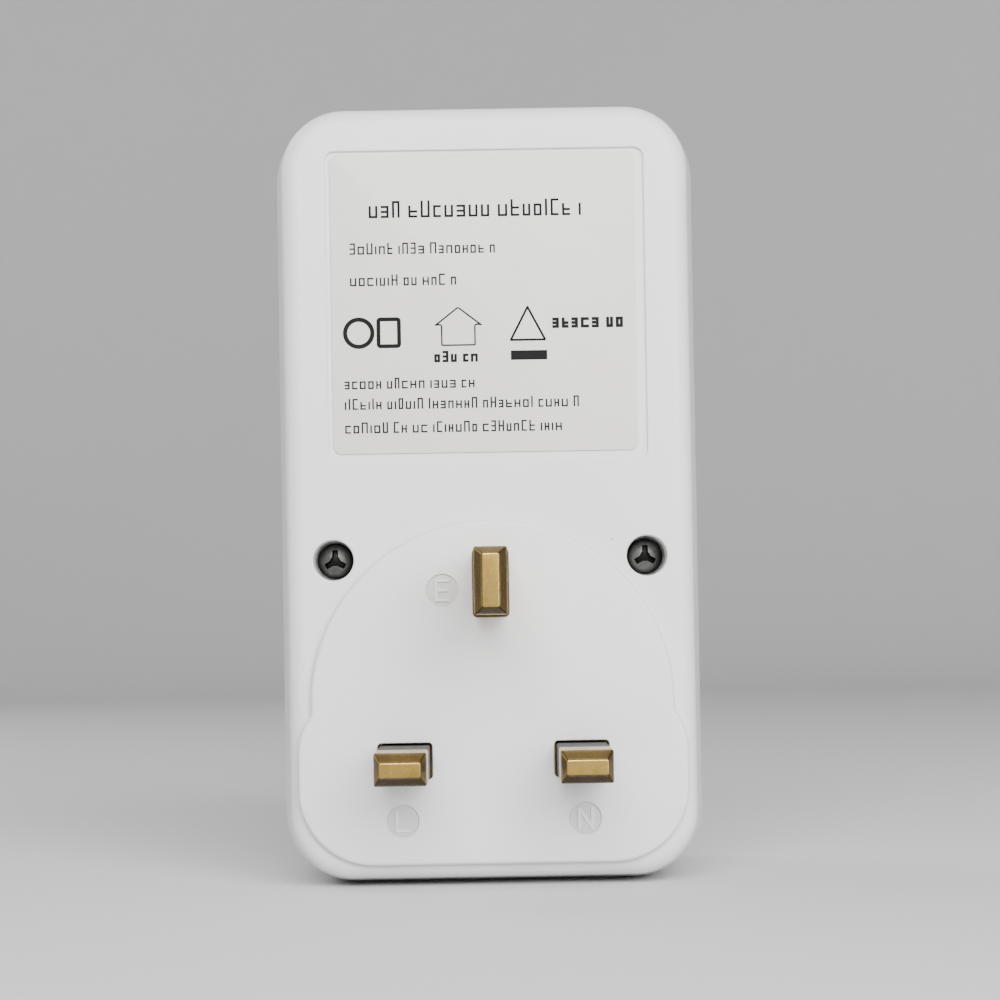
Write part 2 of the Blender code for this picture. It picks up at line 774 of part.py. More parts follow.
def buttons():
    cap_back = FRONT_INSIDE_Y + 1.0
    for name, x in zip(BUTTON_NAMES, BUTTON_X):
        axis = joint_axis(name + "_button_axis", (x, FRONT_Y, BUTTON_Z))
        top = FRONT_Y - BUTTON_STAND
        cap = rod(name + "_button", BUTTON_RADIUS, x, (top, cap_back), BUTTON_Z, grey_button)
        flange_y = (FRONT_INSIDE_Y + 0.2, cap_back)
        join(cap, rod(name + "_flange", BUTTON_RADIUS + 1.0, x, flange_y, BUTTON_Z))
        ride(smooth(cap), axis)
        switch_top = BOARD_Y[0] - 3.6
        wide, high = around(x, SWITCH_SIZE), around(BUTTON_Z, SWITCH_SIZE)
        body = box(name + "_switch", wide, (switch_top, BOARD_Y[0] - 0.15), high, black_plastic)
        well = rod(name + "_switch_well", 1.9, x, (-34.0, BOARD_Y[0] - 1.2), BUTTON_Z, steps=16)
        cut(body, well)
        plunger_y = (cap_back + 0.1, BOARD_Y[0] - 2.0)
        plunger = rod(name + "_plunger", 1.6, x, plunger_y, BUTTON_Z, grey_moulding, 16)
        ride(smooth(plunger), axis)


# socket


def shutter():
    """Two blades over the line and neutral slots, on an arm that ends in a ramp."""
    low, high = -BLADE_HALF_HEIGHT, BLADE_HALF_HEIGHT
    blades = box(
        "socket_shutter", (-BLADE_HALF_WIDTH, BLADE_HALF_WIDTH), SHUTTER_Y, (low, high), grey_moulding
    )
    arm = box("shutter_arm", (-ARM_HALF_WIDTH, ARM_HALF_WIDTH), SHUTTER_Y, (low, SHUTTER_TOP))
    join(blades, arm)
    ramp_foot = SHUTTER_TOP - SHUTTER_TRAVEL
    ramp = box("ramp_cut", (-6, 6), (SHUTTER_Y[0] - 2, SHUTTER_Y[1] - 0.4), (ramp_foot, 30))
    for vertex in ramp.data.vertices:
        at_back = vertex.co.y > SHUTTER_Y[0] * MM
        at_foot = vertex.co.z < (SHUTTER_TOP + 1) * MM
        if at_back and at_foot:
            vertex.co.z += SHUTTER_TRAVEL * MM
    cut(blades, ramp)
    move = joint_axis("socket_shutter_axis", (0.0, sum(SHUTTER_Y) / 2, 0.0))
    ride(blades, move)


def shutter_spring():
    """A compression spring between the casing's floor and the shutter's arm."""
    bottom = BODY_BOTTOM + WALL + 0.8 + SPRING_WIRE
    top = -BLADE_HALF_HEIGHT - 0.15 - SPRING_WIRE
    middle = sum(SHUTTER_Y) / 2
    points = []
    steps = SPRING_TURNS * 10
    for step in range(steps + 1):
        angle = 2 * math.pi * step / 10
        x = SPRING_X + SPRING_RADIUS * math.cos(angle)
        y = middle + SPRING_RADIUS * math.sin(angle)
        points.append((x, y, bottom + (top - bottom) * step / steps))
    wire("shutter_spring", points, SPRING_WIRE, bright_steel)


def contact_carrier():
    """The moulding that holds the three socket contacts, each in a well of its own."""
    block = box("contact_carrier", (-16.4, 16.4), CARRIER_Y, (-5.8, 6.2), grey_moulding)
    join(block, box("carrier_head", (-7.2, 7.2), CARRIER_Y, (5.0, 29.2)))
    well_end = CONTACT_Y[1] + 0.8
    for name, (x, z), _ in pin_places():
        earth = name == "earth"
        wide, high = (3.6, 4.8) if earth else (3.6, 3.6)
        well_x, well_z = around(x, 2 * wide), around(z, 2 * high)
        cut(block, box(name + "_well", well_x, (-33.0, well_end), well_z))
        tail = (1.4, 4.8) if earth else (4.8, 1.4)
        tail_x, tail_z = around(x, tail[0]), around(z, tail[1])
        cut(block, box(name + "_tail_slot", tail_x, (-20.0, -12.0), tail_z))


def socket_contacts():
    """Each contact is a folded strip whose two leaves grip the pin, with a tail behind."""
    mouth = CONTACT_SPREAD + 0.35
    leaf = CONTACT_SPREAD
    front, back = CONTACT_Y
    for name, (x, z), _ in pin_places():
        earth = name == "earth"
        middle = x if earth else z
        path = [(middle - mouth, front), (middle - leaf, front + 1.4), (middle - leaf, back)]
        path += [(middle + leaf, back), (middle + leaf, front + 1.4), (middle + mouth, front)]
        span = around(z if earth else x, 7.0 if earth else 5.6)
        across = "z" if earth else "x"
        contact = strip(name + "_contact", path, span, brass, across)
        half = CONTACT_SHEET / 2
        tail = around(middle, 2 * half)
        tail_span = around(z if earth else x, 4.0)
        tail_y = (back - 0.1, CONTACT_TAIL)
        if earth:
            join(contact, box(name + "_tail", tail, tail_y, tail_span))
        else:
            join(contact, box(name + "_tail", tail_span, tail_y, tail))


def links():
    """The metal between each pin's stud and its contact's tail."""
    near, far = STUD_END - 0.6, CONTACT_TAIL + 0.5
    hairpin = [(-2.0, near), (8.0, near), (8.0, far), (-2.0, far)]
    strip("current_shunt", hairpin, around(PIN_X, 5.0), manganin)
    link_y = (CONTACT_TAIL + 0.2, STUD_END - 0.3)
    box("neutral_link", around(-PIN_X, 5.6), link_y, around(0.0, 6.0), copper, 0.4, 1)
    box("earth_link", around(0.0, 5.0), link_y, around(EARTH_Z, 7.0), copper, 0.4, 1)


def sense_wires():
    middle = (STUD_END + CONTACT_TAIL) / 2
    ends = (("line_sense_wire", 1, 9.3, red_wire), ("neutral_sense_wire", -1, 4.0, blue_wire))
    for name, side, start_z, material in ends:
        start = (side * PIN_X, middle, start_z)
        leave = (side * PIN_X, middle, start_z + 14.0)
        arrive = (side * 11.6, -13.0, 37.0)
        end = (side * 11.6, ON_BOARD + 0.1, 37.0)
        wire(name, bezier(start, leave, arrive, end), 0.65, material)


rear_cover()
front_cover()
rating_label()
plug_pins()
pin_sleeves()
pin_retainer()
case_screws()
inner_screws()
display()
board()
buttons()
shutter()
shutter_spring()
contact_carrier()
socket_contacts()
links()
sense_wires()
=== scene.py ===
import json
import math
import bmesh
import bpy
import numpy as np
from mathutils import Matrix, Vector


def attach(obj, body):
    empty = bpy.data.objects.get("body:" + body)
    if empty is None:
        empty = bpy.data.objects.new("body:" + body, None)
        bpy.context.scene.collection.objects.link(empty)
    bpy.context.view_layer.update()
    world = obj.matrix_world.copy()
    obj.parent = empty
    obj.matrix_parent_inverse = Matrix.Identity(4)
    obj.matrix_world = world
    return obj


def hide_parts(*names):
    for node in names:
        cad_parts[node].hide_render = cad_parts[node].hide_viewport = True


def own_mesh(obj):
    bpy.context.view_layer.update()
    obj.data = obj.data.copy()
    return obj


# Plug-in power meter, standing on its lower end with the plug pins towards the camera.
# Sizes are in millimetres and mm turns them into metres. Outlines lie in x and z, and
# y runs from the front face (negative) out of the plug face (positive).

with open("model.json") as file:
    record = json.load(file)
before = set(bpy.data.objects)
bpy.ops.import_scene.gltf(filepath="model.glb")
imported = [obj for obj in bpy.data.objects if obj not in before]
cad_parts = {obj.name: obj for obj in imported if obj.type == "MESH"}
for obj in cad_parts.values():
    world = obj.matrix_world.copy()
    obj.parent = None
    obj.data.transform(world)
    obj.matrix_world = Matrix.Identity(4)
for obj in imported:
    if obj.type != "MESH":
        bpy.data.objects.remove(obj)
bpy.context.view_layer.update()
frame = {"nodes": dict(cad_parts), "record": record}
mm = 0.001

casing = {
    "width": 54.0, "height": 100.0, "bottom": -16.1, "corner": 9.2, "wall": 2.4,
    "rearY": -1.2, "partingY": -10.5, "frontY": -37.0, "seam": 0.2,
    "rearRim": 2.4, "frontRim": 3.0, "rearDraft": 1.15, "frontDraft": 0.7,
    "lip": 1.0, "lipDepth": 1.6, "lipGap": 0.2, "partingEdge": 0.25,
}
casing["middle"] = casing["bottom"] + casing["height"] / 2


# surfaces

def arcPoints(centre, radius, first, last, count):
    # points on a circle about the centre, evenly spread from the first angle to the last
    turn = np.radians(np.linspace(first, last, count))
    return np.column_stack((centre[0] + radius * np.cos(turn), centre[1] + radius * np.sin(turn)))


def roundRect(width, height, radius, centre=(0.0, 0.0), count=14):
    # four quarter circles joined by straight runs, anticlockwise from the right side
    corners = []
    for quarter, (sideX, sideZ) in enumerate(((1, 1), (-1, 1), (-1, -1), (1, -1))):
        x = centre[0] + sideX * (width / 2 - radius)
        z = centre[1] + sideZ * (height / 2 - radius)
        corners.append(arcPoints((x, z), radius, 90 * quarter, 90 * quarter + 90, count))
    return np.vstack(corners)


def circle(radius, centre, count=64):
    return arcPoints(centre, radius, 0, 360, count + 1)[:-1]


def rectPath(width, height, radius, centre, count, soften=1.0):
    # gives the rounded rectangle drawn in by any inset; soften is how fast its corners follow
    def outline(inset):
        return roundRect(width - 2 * inset, height - 2 * inset, radius - soften * inset, centre, count)
    return outline


def circlePath(radius, centre, count):
    def outline(inset):
        return circle(radius - inset, centre, count)
    return outline


def addMesh(name, points, faces):
    # a closed mesh with its faces turned outwards
    mesh = bpy.data.meshes.new(name)
    mesh.from_pydata((np.asarray(points) * mm).tolist(), [], faces)
    shape = bmesh.new()
    shape.from_mesh(mesh)
    bmesh.ops.recalc_face_normals(shape, faces=shape.faces)
    if shape.calc_volume(signed=True) < 0:
        bmesh.ops.reverse_faces(shape, faces=shape.faces)
    shape.to_mesh(mesh)
    shape.free()
    thing = bpy.data.objects.new(name, mesh)
    bpy.context.scene.collection.objects.link(thing)
    return thing


def gridFaces(rows, columns):
    # quads between neighbouring rings; the last column joins the first
    row, column = np.mgrid[0:rows - 1, 0:columns]
    after = (column + 1) % columns
    corners = (row * columns + column, row * columns + after)
    above = ((row + 1) * columns + after, (row + 1) * columns + column)
    return np.stack(corners + above, axis=-1).reshape(-1, 4).tolist()


def loft(name, rings):
    # a skin through closed rings of x, y, z, each end closed by a flat face
    rings = np.asarray(rings)
    rows, columns = rings.shape[:2]
    faces = gridFaces(rows, columns)
    faces.append(list(range(columns)))
    faces.append(list(range((rows - 1) * columns, rows * columns)))
    return addMesh(name, rings.reshape(-1, 3), faces)


def ringAt(outline, y):
    return np.column_stack((outline[:, 0], np.full(len(outline), y), outline[:, 1]))


def loftAlong(name, outline, path):
    # the outline, drawn in by each inset of the path, at each y of the path
    return loft(name, [ringAt(outline(inset), y) for y, inset in path])


def edgeRound(y, inset, radius, away, steps=6):
    # a quarter round from a face at y into a side at the inset: (y, inset) pairs.
    # away is the way out of the face: 1 is +y
    turn = np.linspace(0, np.pi / 2, steps + 1)
    ys = y - away * radius * (1 - np.cos(turn))
    insets = inset + radius * (1 - np.sin(turn))
    return list(zip(ys, insets))


def mouthRound(y, radius, away, steps=5):
    # the cutter's flare that leaves a rounded edge round a hole's mouth
    turn = np.linspace(0, np.pi / 2, steps + 1)
    ys = y - away * (radius * (1 - np.cos(turn)) + 0.004)
    insets = -radius * (1 - np.sin(turn))
    return [(y + away * 1.0, -radius)] + list(zip(ys, insets))


def carve(thing, cutters, operation="DIFFERENCE"):
    # the cutters are used up
    for cutter in cutters:
        change = thing.modifiers.new("carve", "BOOLEAN")
        change.operation = operation
        change.solver = "EXACT"
        change.object = cutter
    graph = bpy.context.evaluated_depsgraph_get()
    mesh = bpy.data.meshes.new_from_object(thing.evaluated_get(graph))
    thing.modifiers.clear()
    thing.data = mesh
    for cutter in cutters:
        bpy.data.objects.remove(cutter, do_unlink=True)
    return thing


def shadeSmooth(thing, angle=32):
    thing.data.shade_smooth()
    thing.data.set_sharp_from_angle(angle=math.radians(angle))
    return thing


def dress(thing, material, body="casing", nodes=()):
    thing.data.materials.clear()
    thing.data.materials.append(material)
    if nodes:
        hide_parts(*nodes)
    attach(thing, body)
    return thing


def boxMesh(x, y, z):
    points = np.array([(a, b, c) for b in y for a in x for c in z])
    quads = [(0, 1, 3, 2), (4, 6, 7, 5), (0, 2, 6, 4), (1, 5, 7, 3), (0, 4, 5, 1), (2, 3, 7, 6)]
    return points, [list(quad) for quad in quads]


def manyBoxes(name, boxes):
    # separate blocks in one mesh: eight corners each, with the same six faces
    points, faces = [], []
    for x, y, z in boxes:
        corners, quads = boxMesh(x, y, z)
        faces += [[index + 8 * len(points) for index in quad] for quad in quads]
        points.append(corners)
    return addMesh(name, np.vstack(points), faces)


def around(middle, size):
    return (middle - size / 2, middle + size / 2)


# materials

def newGroup(name, inputs, outputs):
    group = bpy.data.node_groups.new(name, "ShaderNodeTree")
    for label, kind, value in inputs:
        socket = group.interface.new_socket(name=label, in_out="INPUT", socket_type=kind)
        socket.default_value = value
    for label, kind in outputs:
        group.interface.new_socket(name=label, in_out="OUTPUT", socket_type=kind)
    nodes = group.nodes
    return group, nodes, group.links, nodes.new("NodeGroupInput"), nodes.new("NodeGroupOutput")


def mathNode(nodes, links, operation, first, second):
    node = nodes.new("ShaderNodeMath")
    node.operation = operation
    for socket, value in zip(node.inputs, (first, second)):
        if isinstance(value, (int, float)):
            socket.default_value = value
        else:
            links.new(value, socket)
    return node.outputs[0]


def noiseNode(nodes, links, scale, detail, roughness, vector):
    node = nodes.new("ShaderNodeTexNoise")
    node.inputs["Detail"].default_value = detail
    node.inputs["Roughness"].default_value = roughness
    links.new(scale, node.inputs["Scale"])
    links.new(vector, node.inputs["Vector"])
    return node.outputs["Fac"]


def rangeNode(nodes, links, value, low, high, toLow, toHigh):
    node = nodes.new("ShaderNodeMapRange")
    node.clamp = True
    links.new(value, node.inputs["Value"])
    for label, number in (("From Min", low), ("From Max", high), ("To Min", toLow), ("To Max", toHigh)):
        node.inputs[label].default_value = number
    return node.outputs["Result"]


def makeSurfaceGroup():
    # fine moulded grain as a height, a slow unevenness, and rare small specks of dirt
    inputs = [("Grain Scale", "NodeSocketFloat", 2600.0), ("Tone Scale", "NodeSocketFloat", 60.0),
              ("Speck Scale", "NodeSocketFloat", 260.0), ("Speck Size", "NodeSocketFloat", 0.05)]
    outputs = [("Height", "NodeSocketFloat"), ("Tone", "NodeSocketFloat"), ("Specks", "NodeSocketFloat")]
    group, nodes, links, entry, leave = newGroup("mouldedSurface", inputs, outputs)
    coords = nodes.new("ShaderNodeTexCoord").outputs["Object"]
    grain = noiseNode(nodes, links, entry.outputs["Grain Scale"], 5.0, 0.6, coords)
    tone = noiseNode(nodes, links, entry.outputs["Tone Scale"], 3.0, 0.5, coords)
    cells = nodes.new("ShaderNodeTexVoronoi")
    links.new(coords, cells.inputs["Vector"])
    links.new(entry.outputs["Speck Scale"], cells.inputs["Scale"])
    spot = mathNode(nodes, links, "LESS_THAN", cells.outputs["Distance"], entry.outputs["Speck Size"])
    chosen = nodes.new("ShaderNodeSeparateColor")
    links.new(cells.outputs["Color"], chosen.inputs["Color"])
    rare = mathNode(nodes, links, "GREATER_THAN", chosen.outputs["Red"], 0.94)
    specks = mathNode(nodes, links, "MULTIPLY", spot, rare)
    links.new(grain, leave.inputs["Height"])
    links.new(tone, leave.inputs["Tone"])
    links.new(specks, leave.inputs["Specks"])
    return group


def makeMetalGroup():
    # drawn lines along y, blotches of tarnish, a mask of the faces that lean towards y, and
    # of those among them that face down
    inputs = [("Line Scale", "NodeSocketFloat", 900.0), ("Blotch Scale", "NodeSocketFloat", 420.0)]
    outputs = [("Lines", "NodeSocketFloat"), ("Blotches", "NodeSocketFloat"), ("Leaning", "NodeSocketFloat"),
               ("Lower", "NodeSocketFloat")]
    group, nodes, links, entry, leave = newGroup("drawnMetal", inputs, outputs)
    coords = nodes.new("ShaderNodeTexCoord").outputs["Object"]
    stretch = nodes.new("ShaderNodeMapping")
    stretch.inputs["Scale"].default_value = (1.0, 0.04, 1.0)
    links.new(coords, stretch.inputs["Vector"])
    lines = noiseNode(nodes, links, entry.outputs["Line Scale"], 4.0, 0.7, stretch.outputs["Vector"])
    blotches = noiseNode(nodes, links, entry.outputs["Blotch Scale"], 5.0, 0.65, coords)
    normal = nodes.new("ShaderNodeNewGeometry").outputs["True Normal"]
    split = nodes.new("ShaderNodeSeparateXYZ")
    links.new(normal, split.inputs["Vector"])
    lean = mathNode(nodes, links, "ABSOLUTE", split.outputs["Y"], 0.0)
    rising = rangeNode(nodes, links, lean, 0.12, 0.35, 0.0, 1.0)
    falling = rangeNode(nodes, links, lean, 0.8, 0.97, 1.0, 0.0)
    leaning = mathNode(nodes, links, "MULTIPLY", rising, falling)
    links.new(lines, leave.inputs["Lines"])
    links.new(blotches, leave.inputs["Blotches"])
    down = rangeNode(nodes, links, split.outputs["Z"], -0.3, -0.7, 0.0, 1.0)
    lower = mathNode(nodes, links, "MULTIPLY", leaning, down)
    links.new(leaning, leave.inputs["Leaning"])
    links.new(lower, leave.inputs["Lower"])
    return group


def startMaterial(name):
    material = bpy.data.materials.new(name)
    material.use_nodes = True
    nodes, links = material.node_tree.nodes, material.node_tree.links
    return material, nodes, links, nodes["Principled BSDF"]


def mixColours(nodes, links, share, first, second):
    node = nodes.new("ShaderNodeMix")
    node.data_type = "RGBA"
    links.new(share, node.inputs["Factor"])
    for socket, value in ((node.inputs[6], first), (node.inputs[7], second)):
        if isinstance(value, tuple):
            socket.default_value = (*value, 1.0)
        else:
            links.new(value, socket)
    return node.outputs[2]


def bumpFrom(nodes, links, height, strength, distance, shader):
    bump = nodes.new("ShaderNodeBump")
    bump.inputs["Strength"].default_value = strength
    bump.inputs["Distance"].default_value = distance
    links.new(height, bump.inputs["Height"])
    links.new(bump.outputs["Normal"], shader.inputs["Normal"])


def mouldedMaterial(name, colour, shade, roughness, grain=0.1, grainScale=2600.0,
                    speckSize=0.0, coat=0.0, specular=0.5):
    material, nodes, links, shader = startMaterial(name)
    surface = nodes.new("ShaderNodeGroup")
    surface.node_tree = surfaceGroup
    surface.inputs["Grain Scale"].default_value = grainScale
    surface.inputs["Speck Size"].default_value = speckSize
    tone = rangeNode(nodes, links, surface.outputs["Tone"], 0.35, 0.65, 0.0, 1.0)
    base = mixColours(nodes, links, tone, colour, shade)
    dirt = tuple(0.35 * value for value in shade)
    base = mixColours(nodes, links, surface.outputs["Specks"], base, dirt)
    links.new(base, shader.inputs["Base Color"])
    rough = rangeNode(nodes, links, surface.outputs["Height"], 0.3, 0.7, roughness - 0.05, roughness + 0.05)
    links.new(rough, shader.inputs["Roughness"])
    shader.inputs["Specular IOR Level"].default_value = specular
    shader.inputs["Coat Weight"].default_value = coat
    shader.inputs["Coat Roughness"].default_value = 0.15
    bumpFrom(nodes, links, surface.outputs["Height"], grain, 0.00004, shader)
    return material


def metalMaterial(name, colour, shade, roughness, lines=0.12, bevelShade=0.0, lineScale=900.0):
    material, nodes, links, shader = startMaterial(name)
    metal = nodes.new("ShaderNodeGroup")
    metal.node_tree = metalGroup
    metal.inputs["Line Scale"].default_value = lineScale
    blotch = rangeNode(nodes, links, metal.outputs["Blotches"], 0.42, 0.64, 0.0, 0.85)
    base = mixColours(nodes, links, blotch, colour, shade)
    # Painted shade and painted dark reflection: faces that lean towards y, such as the pins' bevels, are
    # darkened, and those among them that face down are darkened nearly to black
    leaning = mathNode(nodes, links, "MULTIPLY", metal.outputs["Leaning"], bevelShade)
    bevelShadeColour = tuple(0.5 * value for value in shade)
    base = mixColours(nodes, links, leaning, base, bevelShadeColour)
    lower = mathNode(nodes, links, "MULTIPLY", metal.outputs["Lower"], bevelShade)
    base = mixColours(nodes, links, lower, base, (0.03, 0.017, 0.008))
    # Painted shade: where the shade attribute is set, the colour is darkened nearly to black
    painted = nodes.new("ShaderNodeAttribute")
    painted.attribute_name = "shade"
    base = mixColours(nodes, links, painted.outputs["Fac"], base, (0.004, 0.004, 0.004))
    links.new(base, shader.inputs["Base Color"])
    rough = rangeNode(nodes, links, metal.outputs["Blotches"], 0.3, 0.75, roughness - 0.07, roughness + 0.14)
    links.new(rough, shader.inputs["Roughness"])
    shader.inputs["Metallic"].default_value = 1.0
    bumpFrom(nodes, links, metal.outputs["Lines"], lines, 0.00003, shader)
    return material


def clearMaterial(name, tint):
    material, nodes, links, shader = startMaterial(name)
    surface = nodes.new("ShaderNodeGroup")
    surface.node_tree = surfaceGroup
    surface.inputs["Grain Scale"].default_value = 150.0
    rough = rangeNode(nodes, links, surface.outputs["Height"], 0.3, 0.7, 0.02, 0.07)
    links.new(rough, shader.inputs["Roughness"])
    shader.inputs["Base Color"].default_value = (*tint, 1.0)
    shader.inputs["Transmission Weight"].default_value = 1.0
    shader.inputs["IOR"].default_value = 1.49
    return material


print("materials")
surfaceGroup = makeSurfaceGroup()
metalGroup = makeMetalGroup()
finishes = {
    "white_plastic": mouldedMaterial("whitePlastic", (0.76, 0.752, 0.752), (0.735, 0.728, 0.728), 0.36,
                                     0.10, 2600.0, 0.03),
    "label_paper": mouldedMaterial("labelFilm", (0.675, 0.665, 0.63), (0.65, 0.64, 0.605), 0.42,
                                   0.10, 900.0, 0.02),
    "black_plastic": mouldedMaterial("blackPlastic", (0.012, 0.012, 0.013), (0.02, 0.02, 0.02), 0.55, 0.2,
                                     specular=0.2),
    "grey_button": mouldedMaterial("greyButton", (0.26, 0.27, 0.28), (0.22, 0.23, 0.24), 0.55, 0.25),
    "grey_moulding": mouldedMaterial("greyMoulding", (0.42, 0.42, 0.41), (0.37, 0.37, 0.36), 0.5, 0.2),
    "zebra_rubber": mouldedMaterial("zebraRubber", (0.55, 0.25, 0.30), (0.48, 0.2, 0.25), 0.7, 0.3),
    "board_green": mouldedMaterial("boardGreen", (0.02, 0.14, 0.055), (0.015, 0.10, 0.04), 0.32,
                                   0.25, 700.0),
    "film_yellow": mouldedMaterial("filmYellow", (0.75, 0.50, 0.06), (0.66, 0.42, 0.05), 0.45, 0.15),
    "disc_blue": mouldedMaterial("discBlue", (0.04, 0.13, 0.42), (0.03, 0.10, 0.34), 0.4, 0.3, 500.0),
    "display_glass": mouldedMaterial("displayGlass", (0.27, 0.32, 0.25), (0.25, 0.30, 0.235), 0.16,
                                     0.03, 300.0),
    "red_wire": mouldedMaterial("redWire", (0.55, 0.03, 0.02), (0.45, 0.02, 0.02), 0.5, 0.1),
    "blue_wire": mouldedMaterial("blueWire", (0.03, 0.08, 0.45), (0.02, 0.06, 0.36), 0.5, 0.1),
    "brass": metalMaterial("pinBrass", (0.42, 0.285, 0.08), (0.24, 0.155, 0.04), 0.26, 0.45, 0.85),
    "dark_steel": metalMaterial("darkSteel", (0.12, 0.12, 0.115), (0.05, 0.05, 0.048), 0.33, 0.3),
    "bright_steel": metalMaterial("brightSteel", (0.60, 0.60, 0.59), (0.45, 0.45, 0.44), 0.28, 0.2),
    "copper": metalMaterial("plainCopper", (0.75, 0.36, 0.2), (0.5, 0.22, 0.12), 0.34, 0.3),
    "manganin": metalMaterial("dullManganin", (0.45, 0.36, 0.28), (0.33, 0.26, 0.2), 0.4, 0.3),
    "clear_plastic": clearMaterial("clearPlastic", (0.96, 0.98, 0.98)),
}
blackInk = mouldedMaterial("blackInk", (0.005, 0.005, 0.006), (0.01, 0.01, 0.01), 0.6, 0.05, specular=0.1)
discShade = mouldedMaterial("discShade", (0.60, 0.595, 0.59), (0.57, 0.565, 0.56), 0.5, 0.15)
displayInk = mouldedMaterial("displayInk", (0.05, 0.06, 0.05), (0.06, 0.07, 0.06), 0.3, 0.05)


# rear shell

plugBase = {
    "discRadius": 22.9, "discZ": 7.35, "halfWidth": 24.6, "bottom": -13.1,
    "earZ": 1.0, "earRadius": 8.0, "corner": 9.5, "edge": 0.55,
}
pinPlaces = {
    "line": {"centre": (11.115, 0.0), "size": (6.35, 4.0), "tip": (4.95, 1.8), "length": 17.7},
    "neutral": {"centre": (-11.115, 0.0), "size": (6.35, 4.0), "tip": (4.95, 1.8), "length": 17.7},
    "earth": {"centre": (0.0, 22.23), "size": (4.0, 8.0), "tip": (2.0, 6.3), "length": 22.73},
}
screwWell = {"x": 19.8, "z": 25.4, "radius": 2.55, "floorY": -6.45, "edge": 0.22}
labelRecess = {"width": 40.3, "height": 39.5, "z": 57.4, "corner": 1.2, "depth": 0.4, "edge": 0.16}
rearParts = {"padFoot": -2.6, "bossRadius": 4.3, "bossEnd": -8.6, "holeRadius": 1.7, "holeEnd": -12.0,
             "pinGap": 0.28, "pinCorner": 0.5, "pinEdge": 0.15, "innerRound": 1.2}
letterDiscs = {
    "radius": 2.05, "depth": 0.28, "edge": 0.06, "size": 2.45, "half": 0.19, "foot": -0.4, "step": 0.008,
    "places": {"E": (6.1, 21.4), "L": (11.5, -7.5), "N": (-11.4, -7.5)},
}


def bodyOutline(inset):
    width, height = casing["width"] - 2 * inset, casing["height"] - 2 * inset
    return roundRect(width, height, max(casing["corner"] - inset, 0.6), (0.0, casing["middle"]), 20)


def baseOutline(inset):
    # a disc over a round-cornered block; the block's upper corners stand out as ears
    ear = plugBase["halfWidth"] - plugBase["earRadius"]
    corner = plugBase["halfWidth"] - plugBase["corner"]
    disc, lift = plugBase["discRadius"] - inset, plugBase["discZ"] - plugBase["earZ"]
    earRadius = plugBase["earRadius"] - inset
    apart = math.hypot(ear, lift)
    opening = math.acos((apart**2 + disc**2 - earRadius**2) / (2 * apart * disc))
    notch = math.atan2(-lift, ear) + opening
    notchX, notchZ = disc * math.cos(notch), plugBase["discZ"] + disc * math.sin(notch)
    earEnd = math.degrees(math.atan2(notchZ - plugBase["earZ"], notchX - ear))
    low = (corner, plugBase["bottom"] + plugBase["corner"])
    half = np.vstack((
        arcPoints(low, plugBase["corner"] - inset, -90, 0, 24),
        arcPoints((ear, plugBase["earZ"]), earRadius, 0, earEnd, 12),
        arcPoints((0.0, plugBase["discZ"]), disc, math.degrees(notch), 90, 44)[1:],
    ))
    return np.vstack((half, half[-2::-1] * (-1, 1)))


def rearShell():
    c = casing
    step = c["wall"] - c["lip"] - c["lipGap"]
    outside = edgeRound(c["rearY"], c["rearDraft"], c["rearRim"], 1, 10)
    foot = edgeRound(c["partingY"], 0.0, c["partingEdge"], -1, 4)[::-1]
    floor = c["rearY"] - c["wall"]
    inside = [(c["partingY"], step), (c["partingY"] + c["lipDepth"] + c["lipGap"], step),
              (c["partingY"] + c["lipDepth"] + c["lipGap"], c["wall"]),
              (floor - rearParts["innerRound"], c["wall"] + c["rearDraft"]),
              (floor, c["wall"] + c["rearDraft"] + rearParts["innerRound"])]
    shell = loftAlong("rearShell", bodyOutline, outside + foot + inside)
    padPath = edgeRound(0.0, 0.0, plugBase["edge"], 1, 6) + [(rearParts["padFoot"], 0.0)]
    pad = loftAlong("pad", baseOutline, padPath)
    additions = [pad]
    for side in (-1, 1):
        place = (side * screwWell["x"], screwWell["z"])
        additions.append(loftAlong("boss", circlePath(rearParts["bossRadius"], place, 48),
                                   [(rearParts["bossEnd"], 0.0), (c["rearY"] - 0.9, 0.0)]))
    carve(shell, additions, "UNION")
    cutters = []
    for side in (-1, 1):
        place = (side * screwWell["x"], screwWell["z"])
        mouth = mouthRound(c["rearY"], screwWell["edge"], 1)
        cutters.append(loftAlong("well", circlePath(screwWell["radius"], place, 72),
                                 mouth + [(screwWell["floorY"], 0.0)]))
        cutters.append(loftAlong("hole", circlePath(rearParts["holeRadius"], place, 32),
                                 [(-3.0, 0.0), (rearParts["holeEnd"], 0.0)]))
    for pin in pinPlaces.values():
        wide, high = (value + 2 * rearParts["pinGap"] for value in pin["size"])
        hole = rectPath(wide, high, rearParts["pinCorner"], pin["centre"], 8, 0.5)
        cutters.append(loftAlong("pinHole", hole, mouthRound(0.0, rearParts["pinEdge"], 1) + [(-6.0, 0.0)]))
    recess = rectPath(labelRecess["width"], labelRecess["height"], labelRecess["corner"],
                      (0.0, labelRecess["z"]), 12)
    cutters.append(loftAlong("recess", recess, mouthRound(c["rearY"], labelRecess["edge"], 1)
                             + [(c["rearY"] - labelRecess["depth"], 0.0)]))
    for place in letterDiscs["places"].values():
        disc = circlePath(letterDiscs["radius"], place, 64)
        mouth = mouthRound(0.0, letterDiscs["edge"], 1)
        cutters.append(loftAlong("disc", disc, mouth + [(-letterDiscs["depth"], 0.0)]))
    carve(shell, cutters)
    return dress(shadeSmooth(shell), finishes["white_plastic"], nodes=["rear_cover"])


def letterDiscShades():
    # painted shade: a slightly darker sheet fills each letter's sunk disc
    y = -letterDiscs["depth"]
    for letter, place in letterDiscs["places"].items():
        outline = circlePath(letterDiscs["radius"] - 0.05, place, 48)
        discShadeSheet = loftAlong("discShadeSheet" + letter, outline, [(y - 0.05, 0.0), (y + 0.03, 0.0), (y + 0.05, 0.05)])
        dress(discShadeSheet, discShade)


